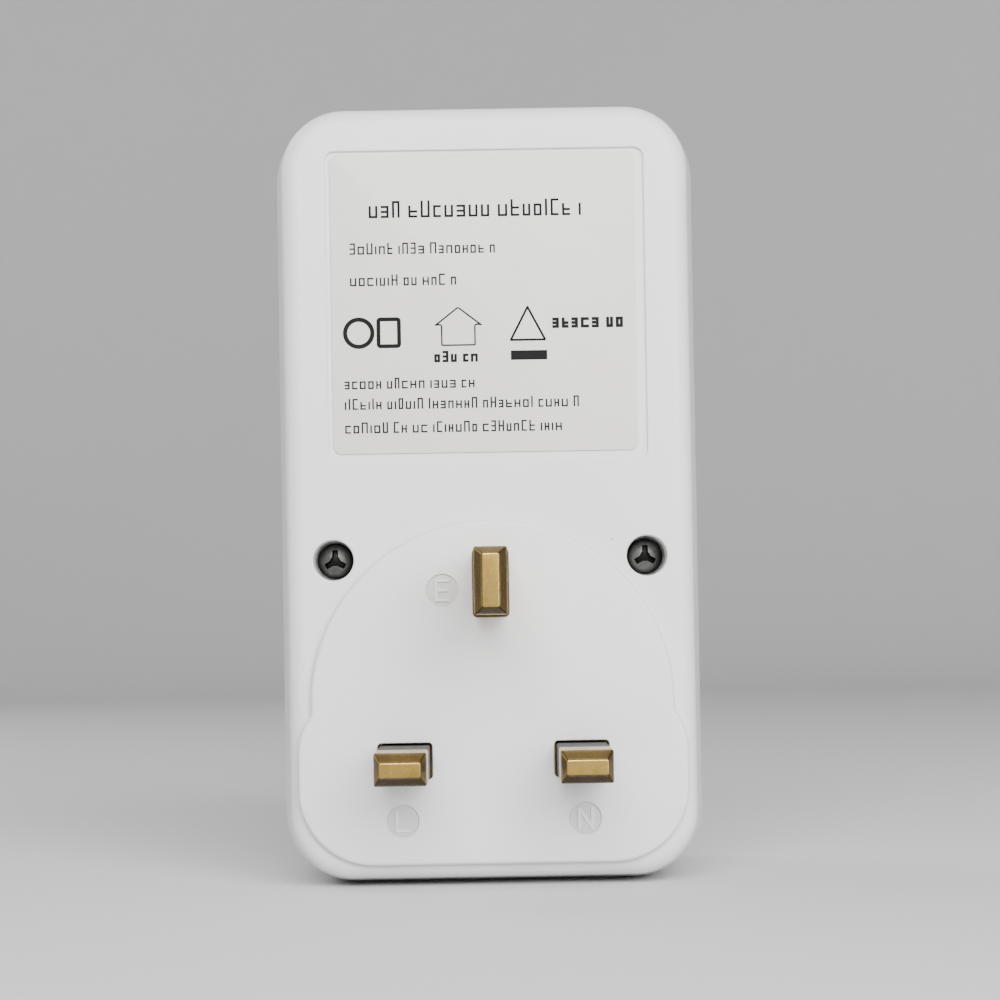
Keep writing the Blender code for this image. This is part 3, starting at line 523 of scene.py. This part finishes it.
def strokeLetters():
    # each letter is a few plain strokes: (from x, from z, to x, to z) in the letter's own square
    strokes = {
        "E": [(0, 0, 0, 1), (0, 0, 0.62, 0), (0, 0.5, 0.55, 0.5), (0, 1, 0.62, 1)],
        "L": [(0, 0, 0, 1), (0, 0, 0.6, 0)],
        "N": [(0, 0, 0, 1), (0, 1, 0.68, 0), (0.68, 0, 0.68, 1)],
    }
    size, half, foot = letterDiscs["size"], letterDiscs["half"], letterDiscs["foot"]
    points, faces = [], []
    for letter, place in letterDiscs["places"].items():
        for x0, z0, x1, z1 in strokes[letter]:
            start = np.array((0.31 - x0, z0 - 0.5)) * size
            end = np.array((0.31 - x1, z1 - 0.5)) * size
            along = (end - start) / np.linalg.norm(end - start)
            across = np.array((-along[1], along[0])) * half
            corners = np.array((start - along * half - across, end + along * half - across,
                                end + along * half + across, start - along * half + across)) + place
            ring = len(points) * 8
            top = -letterDiscs["step"] * len(points)  # no two strokes' tops coincide
            points.append(np.vstack((ringAt(corners, foot), ringAt(corners, top))))
            for quad in ((0, 1, 2, 3), (4, 7, 6, 5), (0, 4, 5, 1), (1, 5, 6, 2), (2, 6, 7, 3), (3, 7, 4, 0)):
                faces.append([ring + index for index in quad])
    marks = addMesh("terminalLetters", np.vstack(points), faces)
    soften = marks.modifiers.new("soften", "BEVEL")
    soften.width = 0.06 * mm
    soften.segments = 2
    return dress(marks, finishes["white_plastic"])


print("rear shell")
rearShell()
letterDiscShades()
strokeLetters()


# front shell

window = {"width": 36.0, "height": 17.0, "z": 64.5, "corner": 1.5, "lensWidth": 38.0,
          "lensHeight": 19.0, "lensCorner": 2.0, "lensDepth": 1.0, "rebateDepth": 1.2, "rebateGap": 0.2}
buttonRow = {"names": ("function", "cost", "up", "down"), "x": (15.0, 5.0, -5.0, -15.0),
             "z": 42.6, "radius": 3.3, "gap": 0.3, "stand": 1.2, "edge": 0.55, "dish": 0.22,
             "mouth": 0.3}
slots = {"flat": (7.2, 4.7), "earth": (5.2, 8.8), "corner": 0.35, "edge": 0.3}
frontParts = {"postRadius": 3.6, "postEnd": -8.9, "pilotRadius": 1.5, "rest": (20.6, 47.6),
              "restRadius": 2.5, "restEnd": -29.2, "innerRound": 1.2}


def frontShell():
    c = casing
    outside = edgeRound(c["frontY"], c["frontDraft"], c["frontRim"], -1, 12)
    top = c["partingY"] - c["seam"]
    foot = edgeRound(top, 0.0, c["partingEdge"], 1, 4)[::-1]
    tongue = c["wall"] - c["lip"]
    floor = c["frontY"] + c["wall"]
    inside = [(top, tongue), (c["partingY"] + c["lipDepth"], tongue),
              (c["partingY"] + c["lipDepth"], c["wall"]),
              (floor + frontParts["innerRound"], c["wall"] + c["frontDraft"]),
              (floor, c["wall"] + c["frontDraft"] + frontParts["innerRound"])]
    shell = loftAlong("frontShell", bodyOutline, outside + foot + inside)
    posts = []
    for side in (-1, 1):
        place = (side * screwWell["x"], screwWell["z"])
        posts.append(loftAlong("post", circlePath(frontParts["postRadius"], place, 40),
                               [(floor - 0.8, 0), (frontParts["postEnd"], 0)]))
        rest = (side * frontParts["rest"][0], frontParts["rest"][1])
        posts.append(loftAlong("rest", circlePath(frontParts["restRadius"], rest, 32),
                               [(floor - 0.8, 0), (frontParts["restEnd"], 0)]))
    carve(shell, posts, "UNION")
    cutters = []
    for side in (-1, 1):
        place = (side * screwWell["x"], screwWell["z"])
        cutters.append(loftAlong("pilot", circlePath(frontParts["pilotRadius"], place, 24),
                                 [(-24.0, 0), (-8.0, 0)]))
    gap = window["rebateGap"]
    glass = rectPath(window["width"], window["height"], window["corner"], (0, window["z"]), 10, 0.5)
    seat = rectPath(window["lensWidth"] + 2 * gap, window["lensHeight"] + 2 * gap,
                    window["lensCorner"] + gap, (0, window["z"]), 10, 0.5)
    cutters.append(loftAlong("window", glass, [(c["frontY"] - 2, 0.0), (floor + 2, 0.0)]))
    cutters.append(loftAlong("seat", seat, mouthRound(c["frontY"], 0.15, -1)
                             + [(c["frontY"] + window["rebateDepth"], 0.0)]))
    for x in buttonRow["x"]:
        hole = circlePath(buttonRow["radius"] + buttonRow["gap"], (x, buttonRow["z"]), 64)
        mouth = mouthRound(c["frontY"], buttonRow["mouth"], -1)
        cutters.append(loftAlong("hole", hole, mouth + [(floor + 2, 0.0)]))
    for name, pin in pinPlaces.items():
        wide, high = slots["earth" if name == "earth" else "flat"]
        slot = rectPath(wide, high, slots["corner"], pin["centre"], 6, 0.5)
        mouth = mouthRound(c["frontY"], slots["edge"], -1)
        cutters.append(loftAlong("slot", slot, mouth + [(floor + 2, 0.0)]))
    carve(shell, cutters)
    return dress(shadeSmooth(shell), finishes["white_plastic"], nodes=["front_cover"])


def windowLens():
    front = casing["frontY"]
    outline = rectPath(window["lensWidth"], window["lensHeight"], window["lensCorner"],
                       (0, window["z"]), 12, 0.5)
    path = edgeRound(front, 0.0, 0.18, -1, 4) + [(front + window["lensDepth"], 0.0)]
    lens = loftAlong("windowLens", outline, path)
    return dress(shadeSmooth(lens), finishes["clear_plastic"], nodes=["window_lens"])


def displayDigits():
    # seven-segment noughts with a point, as the display shows with nothing plugged in
    digit = {"width": 4.6, "height": 9.0, "stroke": 0.9, "pitch": 6.6, "count": 4}
    y = (casing["frontY"] + casing["wall"] + 0.12, casing["frontY"] + casing["wall"] + 0.17)
    boxes = []
    for place in range(digit["count"]):
        x = (place - (digit["count"] - 1) / 2) * digit["pitch"]
        left, right = x - digit["width"] / 2, x + digit["width"] / 2
        low, high = window["z"] - digit["height"] / 2, window["z"] + digit["height"] / 2
        for z in (low, high):
            boxes.append(((left + 0.7, right - 0.7), y, around(z, digit["stroke"])))
        for side in (left, right):
            for half in ((low + 0.6, window["z"] - 0.4), (window["z"] + 0.4, high - 0.6)):
                boxes.append((around(side, digit["stroke"]), y, half))
    pointX = digit["pitch"]
    boxes.append((around(pointX, 0.9), y, around(window["z"] - digit["height"] / 2, 0.9)))
    digits = manyBoxes("displayDigits", boxes)
    return dress(digits, displayInk)


def buttonCap(name, x):
    # a turned cap: dished top, rounded edge, straight side, retaining flange
    b, floor = buttonRow, casing["frontY"] + casing["wall"]
    top, radius = casing["frontY"] - b["stand"], b["radius"]
    dish = [(top + b["dish"] * (1 - (r / (radius - b["edge"])) ** 2), radius - r)
            for r in np.linspace(0.02, radius - b["edge"], 10)]
    edge = edgeRound(top, 0.0, b["edge"], -1, 6)[1:]
    skirt = [(floor + 0.2, 0.0), (floor + 0.2, -1.0), (floor + 1.0, -1.0), (floor + 1.0, radius - 0.05)]
    cap = loftAlong(name + "Cap", circlePath(radius, (x, b["z"]), 64), dish + edge + skirt)
    shadeSmooth(cap, 40)
    return dress(cap, finishes["grey_button"], name + "_key", [name + "_button"])


print("front shell")
frontShell()
windowLens()
displayDigits()
for name, x in zip(buttonRow["names"], buttonRow["x"]):
    buttonCap(name, x)


# plug pins

pinShape = {"taper": 1.7, "edge": 0.28, "sleeveFoot": -3.7, "sleeveEnd": 9.4, "sleeveWall": 0.24,
            "sleeveGap": 0.08, "flatStud": (4.6, 3.0), "earthStud": (3.0, 4.6), "studEnd": -9.7,
            "flange": (-5.3, -3.8), "flangeRim": 1.1}


def barAlong(name, centre, sections, count=6):
    # a bar through round-cornered sections: y, width, height, corner radius
    rings = [ringAt(roundRect(wide, high, radius, centre, count), y) for y, wide, high, radius in sections]
    return loft(name, rings)


def tipSections(length, size, tip, steps=5):
    # the straight end rolls into the taper, and the taper into the flat tip
    taper, edge = pinShape["taper"], pinShape["edge"]
    start = length - taper
    bend = [(start - 0.25, *size, edge)]
    for share in (0.0, 0.25, 0.5, 0.75, 0.92):
        wide, high = (full + (end - full) * share for full, end in zip(size, tip))
        bend.append((start + taper * share, wide - 0.05, high - 0.05, edge))
    for turn in np.linspace(0.2, 1.0, steps):
        pull = 0.22 * (1 - math.cos(turn * math.pi / 2))
        rise = 0.12 * math.sin(turn * math.pi / 2)
        wide, high = (value + 0.12 - 2 * pull for value in tip)
        bend.append((length - 0.12 + rise, wide, high, max(edge - pull, 0.06)))
    return bend


def plugPin(name, pin):
    size, centre, earth = pin["size"], pin["centre"], name == "earth"
    stud = pinShape["earthStud" if earth else "flatStud"]
    flange = [value + 2 * pinShape["flangeRim"] for value in size]
    edge = pinShape["edge"]
    back, front = pinShape["flange"]
    sections = [(pinShape["studEnd"], *stud, 0.2), (back, *stud, 0.2)]
    sections += [(back, *flange, 0.4), (front, *flange, 0.4)]
    if earth:
        sections.append((front, *size, edge))
    else:
        gap = pinShape["sleeveGap"]
        thin = 2 * (pinShape["sleeveWall"] + gap)
        neck = (size[0] - thin, size[1] - thin)
        sections += [(front, *neck, 0.1), (pinShape["sleeveEnd"] + gap, *neck, 0.1)]
        sections += [(pinShape["sleeveEnd"] + gap, size[0] - 0.1, size[1] - 0.1, edge)]
        sections += [(pinShape["sleeveEnd"] + 2 * gap, *size, edge)]
    bar = barAlong(name + "Pin", centre, sections + tipSections(pin["length"], size, pin["tip"]))
    return dress(shadeSmooth(bar, 28), finishes["brass"], nodes=[name + "_pin"])


def pinSleeve(name, pin):
    # one skin: up the outside, over the end, and down the bore
    size, wall = pin["size"], pinShape["sleeveWall"]
    bore = (size[0] - 2 * wall, size[1] - 2 * wall)
    foot, end = pinShape["sleeveFoot"], pinShape["sleeveEnd"]
    sections = [(foot, *bore, 0.12), (foot, *size, 0.28), (end - 0.08, *size, 0.28),
                (end, size[0] - 0.1, size[1] - 0.1, 0.24), (end, *bore, 0.12)]
    rings = np.asarray([ringAt(roundRect(wide, high, radius, pin["centre"], 6), y)
                        for y, wide, high, radius in sections])
    rows, columns = rings.shape[:2]
    faces = gridFaces(rows, columns)
    last = (rows - 1) * columns
    for column in range(columns):
        after = (column + 1) % columns
        faces.append([last + column, last + after, after, column])
    sleeve = shadeSmooth(addMesh(name + "Sleeve", rings.reshape(-1, 3), faces))
    return dress(sleeve, finishes["black_plastic"], nodes=[name + "_pin_sleeve"])


print("plug pins")
for name, pin in pinPlaces.items():
    plugPin(name, pin)
    if name != "earth":
        pinSleeve(name, pin)


# case screws

screwShape = {"headRadius": 2.3, "headTop": -4.7, "headHeight": 1.6, "shank": 1.3, "end": -22.0,
              "armLength": 1.4, "armHalf": 0.36, "recessDepth": 0.85, "dome": 0.5, "turn": 30.0,
              "shadeFrom": 1.55, "hub": 0.62, "soften": 0.1}


def caseScrew(side, label):
    # a polar grid over the domed head, sunk by the three arms, then rings down the shank
    s = screwShape
    radii = np.linspace(0.02, s["headRadius"] - 0.25, 44)
    angles = np.linspace(0, 2 * np.pi, 180, endpoint=False)
    radius, angle = np.meshgrid(radii, angles, indexing="ij")
    sunk = np.zeros_like(radius)
    for arm in range(3):
        lean = angle - math.radians(s["turn"] + 120 * arm + 60)
        along, aside = radius * np.cos(lean), radius * np.sin(lean)
        across = np.clip((s["armHalf"] - np.abs(aside)) / s["soften"], 0, 1)
        inside = across * np.clip((s["armLength"] - along) / s["soften"], 0, 1)
        sunk = np.maximum(sunk, inside * (along > -s["soften"]))
    hub = np.clip((s["hub"] - radius) / s["soften"], 0, 1)
    sunk = np.maximum(sunk, hub) * s["recessDepth"]
    y = s["headTop"] - s["dome"] * (radius / s["headRadius"]) ** 2 - sunk
    centre = (side * screwWell["x"], screwWell["z"])
    head = np.stack((centre[0] + radius * np.cos(angle), y, centre[1] + radius * np.sin(angle)), axis=-1)
    rim = s["headTop"] - s["dome"]
    seat = s["headTop"] - s["headHeight"]
    below = [(s["headRadius"] - 0.08, rim - 0.06), (s["headRadius"], rim - 0.25), (s["headRadius"], seat),
             (s["shank"], seat), (s["shank"], s["end"] + 1.2), (0.3, s["end"])]
    rings = [ringAt(circle(r, centre, 180), level) for r, level in below]
    screw = loft("caseScrew" + label.title(), np.concatenate((head, np.asarray(rings))))
    # Painted shade: the cross recess and the head's outer rim darken towards black, and every point below
    # the head is painted black
    rimShade = np.clip((radius - s["shadeFrom"]) / 0.45, 0, 1) * 0.75
    shade = np.ones(len(screw.data.vertices))
    shade[:radius.size] = np.maximum(sunk / s["recessDepth"], rimShade).ravel() * 0.92
    paint = screw.data.attributes.new("shade", "FLOAT", "POINT")
    paint.data.foreach_set("value", shade)
    shadeSmooth(screw, 40)
    return dress(screw, finishes["dark_steel"], nodes=["case_screw_" + label])


print("case screws")
for side, label in ((1, "left"), (-1, "right")):
    caseScrew(side, label)


# rating label and its print

label = {"width": 38.5, "height": 37.9, "x": 0.3, "z": 57.75, "corner": 1.0, "thickness": 0.16,
         "standOff": 0.06, "inkDepth": 0.015}
# each line of print: its place from the label's left and top, its length and height, and the
# width of its signs, the gap between them and the pen that draws them
printLines = [
    {"left": 4.9, "top": 5.9, "length": 27.9, "height": 2.15, "block": 1.2, "gap": 0.42, "pen": 0.29},
    {"left": 2.4, "top": 11.2, "length": 18.9, "height": 1.45, "block": 0.8, "gap": 0.3, "pen": 0.20},
    {"left": 2.4, "top": 15.2, "length": 13.8, "height": 1.45, "block": 0.8, "gap": 0.3, "pen": 0.20},
    {"left": 12.9, "top": 25.0, "length": 6.0, "height": 1.45, "block": 0.85, "gap": 0.3, "pen": 0.32},
    {"left": 27.9, "top": 20.5, "length": 9.3, "height": 1.85, "block": 1.05, "gap": 0.34, "pen": 0.39},
    {"left": 1.5, "top": 28.3, "length": 16.6, "height": 1.4, "block": 0.76, "gap": 0.3, "pen": 0.20},
    {"left": 1.5, "top": 30.9, "length": 29.6, "height": 1.4, "block": 0.76, "gap": 0.3, "pen": 0.20},
    {"left": 1.5, "top": 33.9, "length": 27.2, "height": 1.4, "block": 0.76, "gap": 0.3, "pen": 0.20},
]
labelFace = casing["rearY"] - labelRecess["depth"] + label["standOff"] + label["thickness"]
labelLeft = label["x"] + label["width"] / 2
labelTop = label["z"] + label["height"] / 2


def labelSheet():
    outline = rectPath(label["width"], label["height"], label["corner"], (label["x"], label["z"]), 10)
    path = edgeRound(labelFace, 0.0, 0.05, 1, 3) + [(labelFace - label["thickness"], 0.0)]
    sheet = loftAlong("ratingLabel", outline, path)
    return dress(shadeSmooth(sheet), finishes["label_paper"], nodes=["rating_label"])


def inkLevels():
    return (labelFace - 0.02, labelFace + label["inkDepth"])


def printedWords():
    # rows of small unreadable signs stand where words would be. Each sign is one or two
    # posts, and bars across at its top, middle or foot
    kinds = np.array(((1, 1, 1, 0, 0), (1, 1, 0, 0, 1), (1, 1, 1, 0, 1), (1, 0, 0, 0, 0), (1, 0, 1, 0, 1),
                      (0, 1, 1, 1, 1), (1, 1, 0, 1, 0), (1, 0, 0, 1, 1)))
    rng = np.random.default_rng(11)
    low, high = inkLevels()
    boxes = []
    for line in printLines:
        position, word = 0.0, int(rng.integers(3, 8))
        pen = line["pen"]
        while position < line["length"] - line["block"] * 0.7:
            kind = kinds[rng.integers(0, len(kinds))]
            wide = line["block"] * (0.25 if kind[1] + kind[2:].sum() == 0 else rng.uniform(0.8, 1.05))
            tall = line["height"] * (1.0 if rng.uniform() < 0.28 else 0.72)
            left = labelLeft - line["left"] - position
            foot = labelTop - line["top"] - line["height"]
            posts = [left, left - wide + pen]
            for post, drawn in zip(posts, kind[:2]):
                if drawn:
                    boxes.append(((post - pen, post), (low, high), (foot, foot + tall)))
            rows = (foot + tall - pen, foot + (tall - pen) / 2, foot)
            for row, drawn in zip(rows, kind[2:]):
                if drawn:
                    boxes.append(((left - wide, left), (low, high - 0.003), (row, row + pen)))
            position += wide + line["gap"]
            word -= 1
            if word == 0:
                position += line["block"] * 0.55
                word = int(rng.integers(2, 9))
    boxes.append(((labelLeft - 27.2, labelLeft - 22.6), (low, high), (labelTop - 26.3, labelTop - 25.1)))
    return dress(manyBoxes("printedWords", boxes), blackInk)


def inkLoop(points, faces, outline, width):
    # a flat band of ink along an outline: the outline, and the same drawn in by its width
    ahead, behind = np.roll(outline, -1, axis=0), np.roll(outline, 1, axis=0)
    tangent = ahead - behind
    tangent /= np.linalg.norm(tangent, axis=1, keepdims=True)
    normal = np.column_stack((-tangent[:, 1], tangent[:, 0]))
    inner = outline + normal * width
    low, high = inkLevels()
    rings = [ringAt(outline, low), ringAt(outline, high), ringAt(inner, high), ringAt(inner, low)]
    columns, start = len(outline), sum(len(part) for part in points)
    points.append(np.vstack(rings))
    for ring in range(4):
        for column in range(columns):
            after, above = (column + 1) % columns, (ring + 1) % 4
            faces.append([start + ring * columns + column, start + ring * columns + after,
                          start + above * columns + after, start + above * columns + column])


def spot(left, top):
    return np.array((labelLeft - left, labelTop - top))


def polygon(corners, perSide=6):
    # straight sides cut into short runs, so that the band keeps its width near the corners
    sides = []
    for start, end in zip(corners, np.roll(corners, -1, axis=0)):
        share = np.linspace(0.04, 0.96, perSide)[:, None]
        sides.append(start + (end - start) * share)
    return np.vstack(sides)


def printedSigns():
    # four plain signs: a ring, a square, a house for indoor use and a triangle
    points, faces = [], []
    inkLoop(points, faces, circle(2.0, spot(3.4, 22.6), 48), 0.55)
    inkLoop(points, faces, roundRect(3.1, 3.9, 0.5, spot(7.2, 22.6), 6), 0.5)
    house = [spot(*place) for place in ((18.2, 24.4), (18.2, 21.8), (19.1, 21.8), (16.0, 19.4),
                                        (12.9, 21.8), (13.8, 21.8), (13.8, 24.4))]
    inkLoop(points, faces, polygon(np.array(house)[::-1]), 0.2)
    triangle = [spot(*place) for place in ((27.2, 23.9), (24.8, 19.3), (22.4, 23.9))]
    inkLoop(points, faces, polygon(np.array(triangle)[::-1]), 0.28)
    return dress(addMesh("printedSigns", np.vstack(points), faces), blackInk)


print("rating label")
labelSheet()
printedWords()
printedSigns()


# shutter return spring

spring = {"y": -33.1, "radius": 0.95, "wire": 0.2, "turns": 6.0, "closed": 0.75, "bottom": -12.9,
          "top": -2.8, "squashed": 0.5}


def returnSpring():
    # wire round the helix (r cos t, r sin t, z), with z nearly level in the closed end coils.
    # Each ring lies in the plane of the outward direction and the wire's own upward normal
    s = spring
    turns = np.linspace(0, s["turns"], 240)
    low, high = s["bottom"] + s["wire"], s["top"] - s["wire"]
    rise = 2.1 * s["wire"] * s["closed"]
    bends = [0, s["closed"], s["turns"] - s["closed"], s["turns"]]
    z = np.interp(turns, bends, [low, low + rise, high - rise, high])
    t = 2 * np.pi * turns
    middle = np.column_stack((s["radius"] * np.cos(t), s["y"] + s["radius"] * np.sin(t), z))
    along = np.gradient(middle, axis=0)
    along /= np.linalg.norm(along, axis=1, keepdims=True)
    outward = np.column_stack((np.cos(t), np.sin(t), np.zeros_like(t)))
    upward = np.cross(along, outward)
    ring = np.linspace(0, 2 * np.pi, 13)[:-1]
    rings = (middle[:, None] + s["wire"] * (np.cos(ring)[None, :, None] * outward[:, None]
                                            + np.sin(ring)[None, :, None] * upward[:, None]))
    coil = shadeSmooth(loft("returnSpring", rings), 50)
    dress(coil, finishes["bright_steel"], nodes=["shutter_spring"])
    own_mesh(coil)


print("return spring")
returnSpring()


# the other CAD nodes keep their shapes and take these finishes

print("inner pieces")
slotOfNode = {part["node"]: part["material_slot"] for part in frame["record"]["subparts"]}
for nodeName, node in frame["nodes"].items():
    if not node.hide_render:
        node.data.materials.clear()
        node.data.materials.append(finishes[slotOfNode[nodeName]])


# floor, light and camera

studio = {"floorRadius": 0.75, "sweep": 0.35, "wall": 2.2, "floorColour": (0.66, 0.66, 0.66),
          "ambient": 0.47, "key": 11.0, "fill": 2.2, "side": 1.4}
camera = {"x": 0.06, "y": 290.24, "z": 18.0, "yaw": 0.246, "pitch": 0.877, "roll": 0.968, "lens": 83.13,
          "shift": 0.081}


def sweptFloor():
    # a flat disc that curves up into a round wall, so that no horizon shows
    turn = np.linspace(0, np.pi / 2, 16)
    flat = studio["floorRadius"] * 1000
    bend = studio["sweep"] * 1000
    radii = np.concatenate(([5.0, flat * 0.5], flat + bend * np.sin(turn), [flat + bend]))
    rises = np.concatenate(([0.0, 0.0], bend * (1 - np.cos(turn)), [bend + studio["wall"] * 1000]))
    level = casing["bottom"]
    rings = [ringAt(circle(r, (0, 0), 96), level + rise) for r, rise in zip(radii, rises)]
    faces = gridFaces(len(rings), 96)
    faces.append(list(range(96)))
    floor = addMesh("studioFloor", np.vstack([ring[:, (0, 2, 1)] for ring in rings]), faces)
    floor.data.shade_smooth()
    material, nodes, links, shader = startMaterial("studioPaper")
    shader.inputs["Base Color"].default_value = (*studio["floorColour"], 1.0)
    shader.inputs["Roughness"].default_value = 0.9
    shader.inputs["Specular IOR Level"].default_value = 0.1
    floor.data.materials.append(material)


def areaLight(name, place, target, size, power):
    data = bpy.data.lights.new(name, "AREA")
    data.shape = "RECTANGLE"
    data.size, data.size_y = size
    data.energy = power
    lamp = bpy.data.objects.new(name, data)
    lamp.location = place
    aim = Vector(target) - Vector(place)
    lamp.rotation_euler = aim.to_track_quat("-Z", "Y").to_euler()
    bpy.context.scene.collection.objects.link(lamp)


print("studio")
sweptFloor()
areaLight("keyLight", (-0.08, 0.62, 0.38), (0, 0, 0.03), (0.7, 0.5), studio["key"])
areaLight("fillLight", (-0.35, 0.5, 0.12), (0, 0, 0.03), (0.4, 0.4), studio["fill"])
areaLight("sideLight", (0.45, -0.3, 0.35), (0, 0, 0.03), (0.4, 0.4), studio["side"])
world = bpy.data.worlds.new("studioSky")
world.use_nodes = True
world.node_tree.nodes["Background"].inputs["Color"].default_value = (1, 1, 1, 1)
world.node_tree.nodes["Background"].inputs["Strength"].default_value = studio["ambient"]
bpy.context.scene.world = world

lensData = bpy.data.cameras.new("camera")
lensData.lens = camera["lens"]
lensData.sensor_width = 36.0
lensData.shift_y = camera["shift"]
lensData.clip_start = 0.01
viewer = bpy.data.objects.new("camera", lensData)
bpy.context.scene.collection.objects.link(viewer)
viewer.location = [camera[axis] * mm for axis in "xyz"]
facing = Matrix.Rotation(math.radians(180 - camera["yaw"]), 3, "Z")
tilt = Matrix.Rotation(math.radians(90 + camera["pitch"]), 3, "X")
turn = Matrix.Rotation(math.radians(-camera["roll"]), 3, "Z")
viewer.rotation_euler = (facing @ tilt @ turn).to_euler()
bpy.context.scene.camera = viewer
